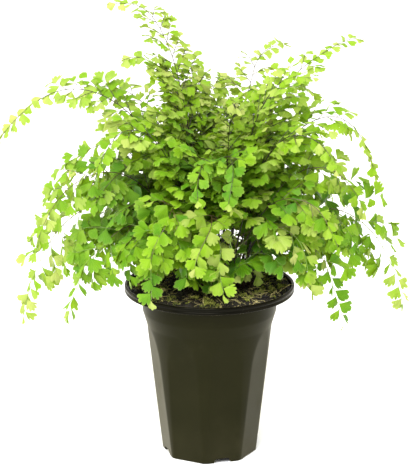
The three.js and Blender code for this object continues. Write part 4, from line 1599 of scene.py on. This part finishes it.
class FERN_OT_stage(bpy.types.Operator):
    """Makes the floor, the light and the camera"""

    bl_idname = "fern.stage"
    bl_label = "Stage"

    def execute(self, context):
        stage = context.scene.fern_stage
        self.lay_floor(stage)
        self.light(context, stage)
        self.aim_camera(context)
        context.scene.view_settings.view_transform = "Standard"
        return {"FINISHED"}

    @staticmethod
    def lay_floor(stage):
        """A sheet of nearly white paper."""
        mesh = bpy.data.meshes.new("floor")
        corners = [(-1, -1), (1, -1), (1, 1), (-1, 1)]
        points = [(x * FLOOR_HALF, y * FLOOR_HALF, 0) for x, y in corners]
        mesh.from_pydata(points, [], [(0, 1, 2, 3)])
        paper = new_finish("studio paper")
        cloud = paper.noise(3.0, 2.0)
        colour = paper.mix(cloud * 0.1, stage.floor, WHITE)
        shader = paper.shade(Base_Color=colour, Roughness=0.9, Specular_IOR_Level=0.1)
        mesh.materials.append(paper.show(shader))
        floor = bpy.data.objects.new("floor", mesh)
        bpy.context.scene.collection.objects.link(floor)

    @staticmethod
    def light(context, stage):
        """White air, brighter behind, with a warm wall on each side, and a softbox."""
        world = bpy.data.worlds.new("studio")
        context.scene.world = world
        air = Finish(world)
        sideways, ahead, _ = air.parts(air.node("TexCoord", output="Generated"))
        from_left = air.between(sideways, -0.5, -0.85)
        from_right = air.between(sideways, 0.5, 0.85)
        strength = stage.before + air.between(ahead, -0.9, 0.3) * (stage.behind - stage.before)
        strength = strength + from_left * stage.left + from_right * stage.right
        colour = air.mix(from_left + from_right, WHITE, stage.warm)
        glow = air.node("Background", None, {"Color": colour, "Strength": strength})
        air.node("OutputWorld", None, {"Surface": glow})
        lamp = bpy.data.lights.new("softbox", "AREA")
        lamp.shape = "RECTANGLE"
        lamp.size, lamp.size_y = SOFTBOX_SIZE
        lamp.energy = stage.key
        softbox = bpy.data.objects.new("softbox", lamp)
        softbox.location = SOFTBOX_PLACE
        softbox.rotation_euler = [math.radians(turn) for turn in SOFTBOX_TURN]
        context.scene.collection.objects.link(softbox)

    @staticmethod
    def aim_camera(context):
        """The photograph's view, with the photograph's height across the sensor."""
        lens = bpy.data.cameras.new("camera")
        lens.sensor_width = SENSOR_MM
        lens.lens = SENSOR_MM * FOCAL_LENGTH_PX / PHOTO_HEIGHT_PX
        camera = bpy.data.objects.new("camera", lens)
        camera.location = CAMERA_PLACE
        camera.rotation_euler = (math.radians(90 - CAMERA_PITCH), 0, 0)
        context.scene.collection.objects.link(camera)
        context.scene.camera = camera


class FERN_PT_panel(bpy.types.Panel):
    """Lists what the fern is made of"""

    bl_idname = "FERN_PT_panel"
    bl_label = "Potted fern"
    bl_space_type = "VIEW_3D"
    bl_region_type = "UI"
    bl_category = "Fern"

    def draw(self, context):
        for operator in OPERATORS:
            self.layout.operator(operator.bl_idname)


SETTINGS = {
    "fern_foliage": FERN_PG_foliage,
    "fern_pot": FERN_PG_pot,
    "fern_ground": FERN_PG_ground,
    "fern_stage": FERN_PG_stage,
}
OPERATORS = (
    FERN_OT_pot,
    FERN_OT_ground,
    FERN_OT_crown,
    FERN_OT_fronds,
    FERN_OT_sprouts,
    FERN_OT_stage,
)
CLASSES = (*SETTINGS.values(), *OPERATORS, FERN_PT_panel)


def register():
    for cls in CLASSES:
        bpy.utils.register_class(cls)
    for name, group in SETTINGS.items():
        setattr(bpy.types.Scene, name, bpy.props.PointerProperty(type=group))


def unregister():
    for name in SETTINGS:
        delattr(bpy.types.Scene, name)
    for cls in reversed(CLASSES):
        bpy.utils.unregister_class(cls)


def main():
    register()
    bpy.ops.fern.stage()
    bpy.ops.fern.pot()
    bpy.ops.fern.ground()
    bpy.ops.fern.crown()
    bpy.ops.fern.fronds()
    bpy.ops.fern.sprouts()


if __name__ == "__main__":
    main()
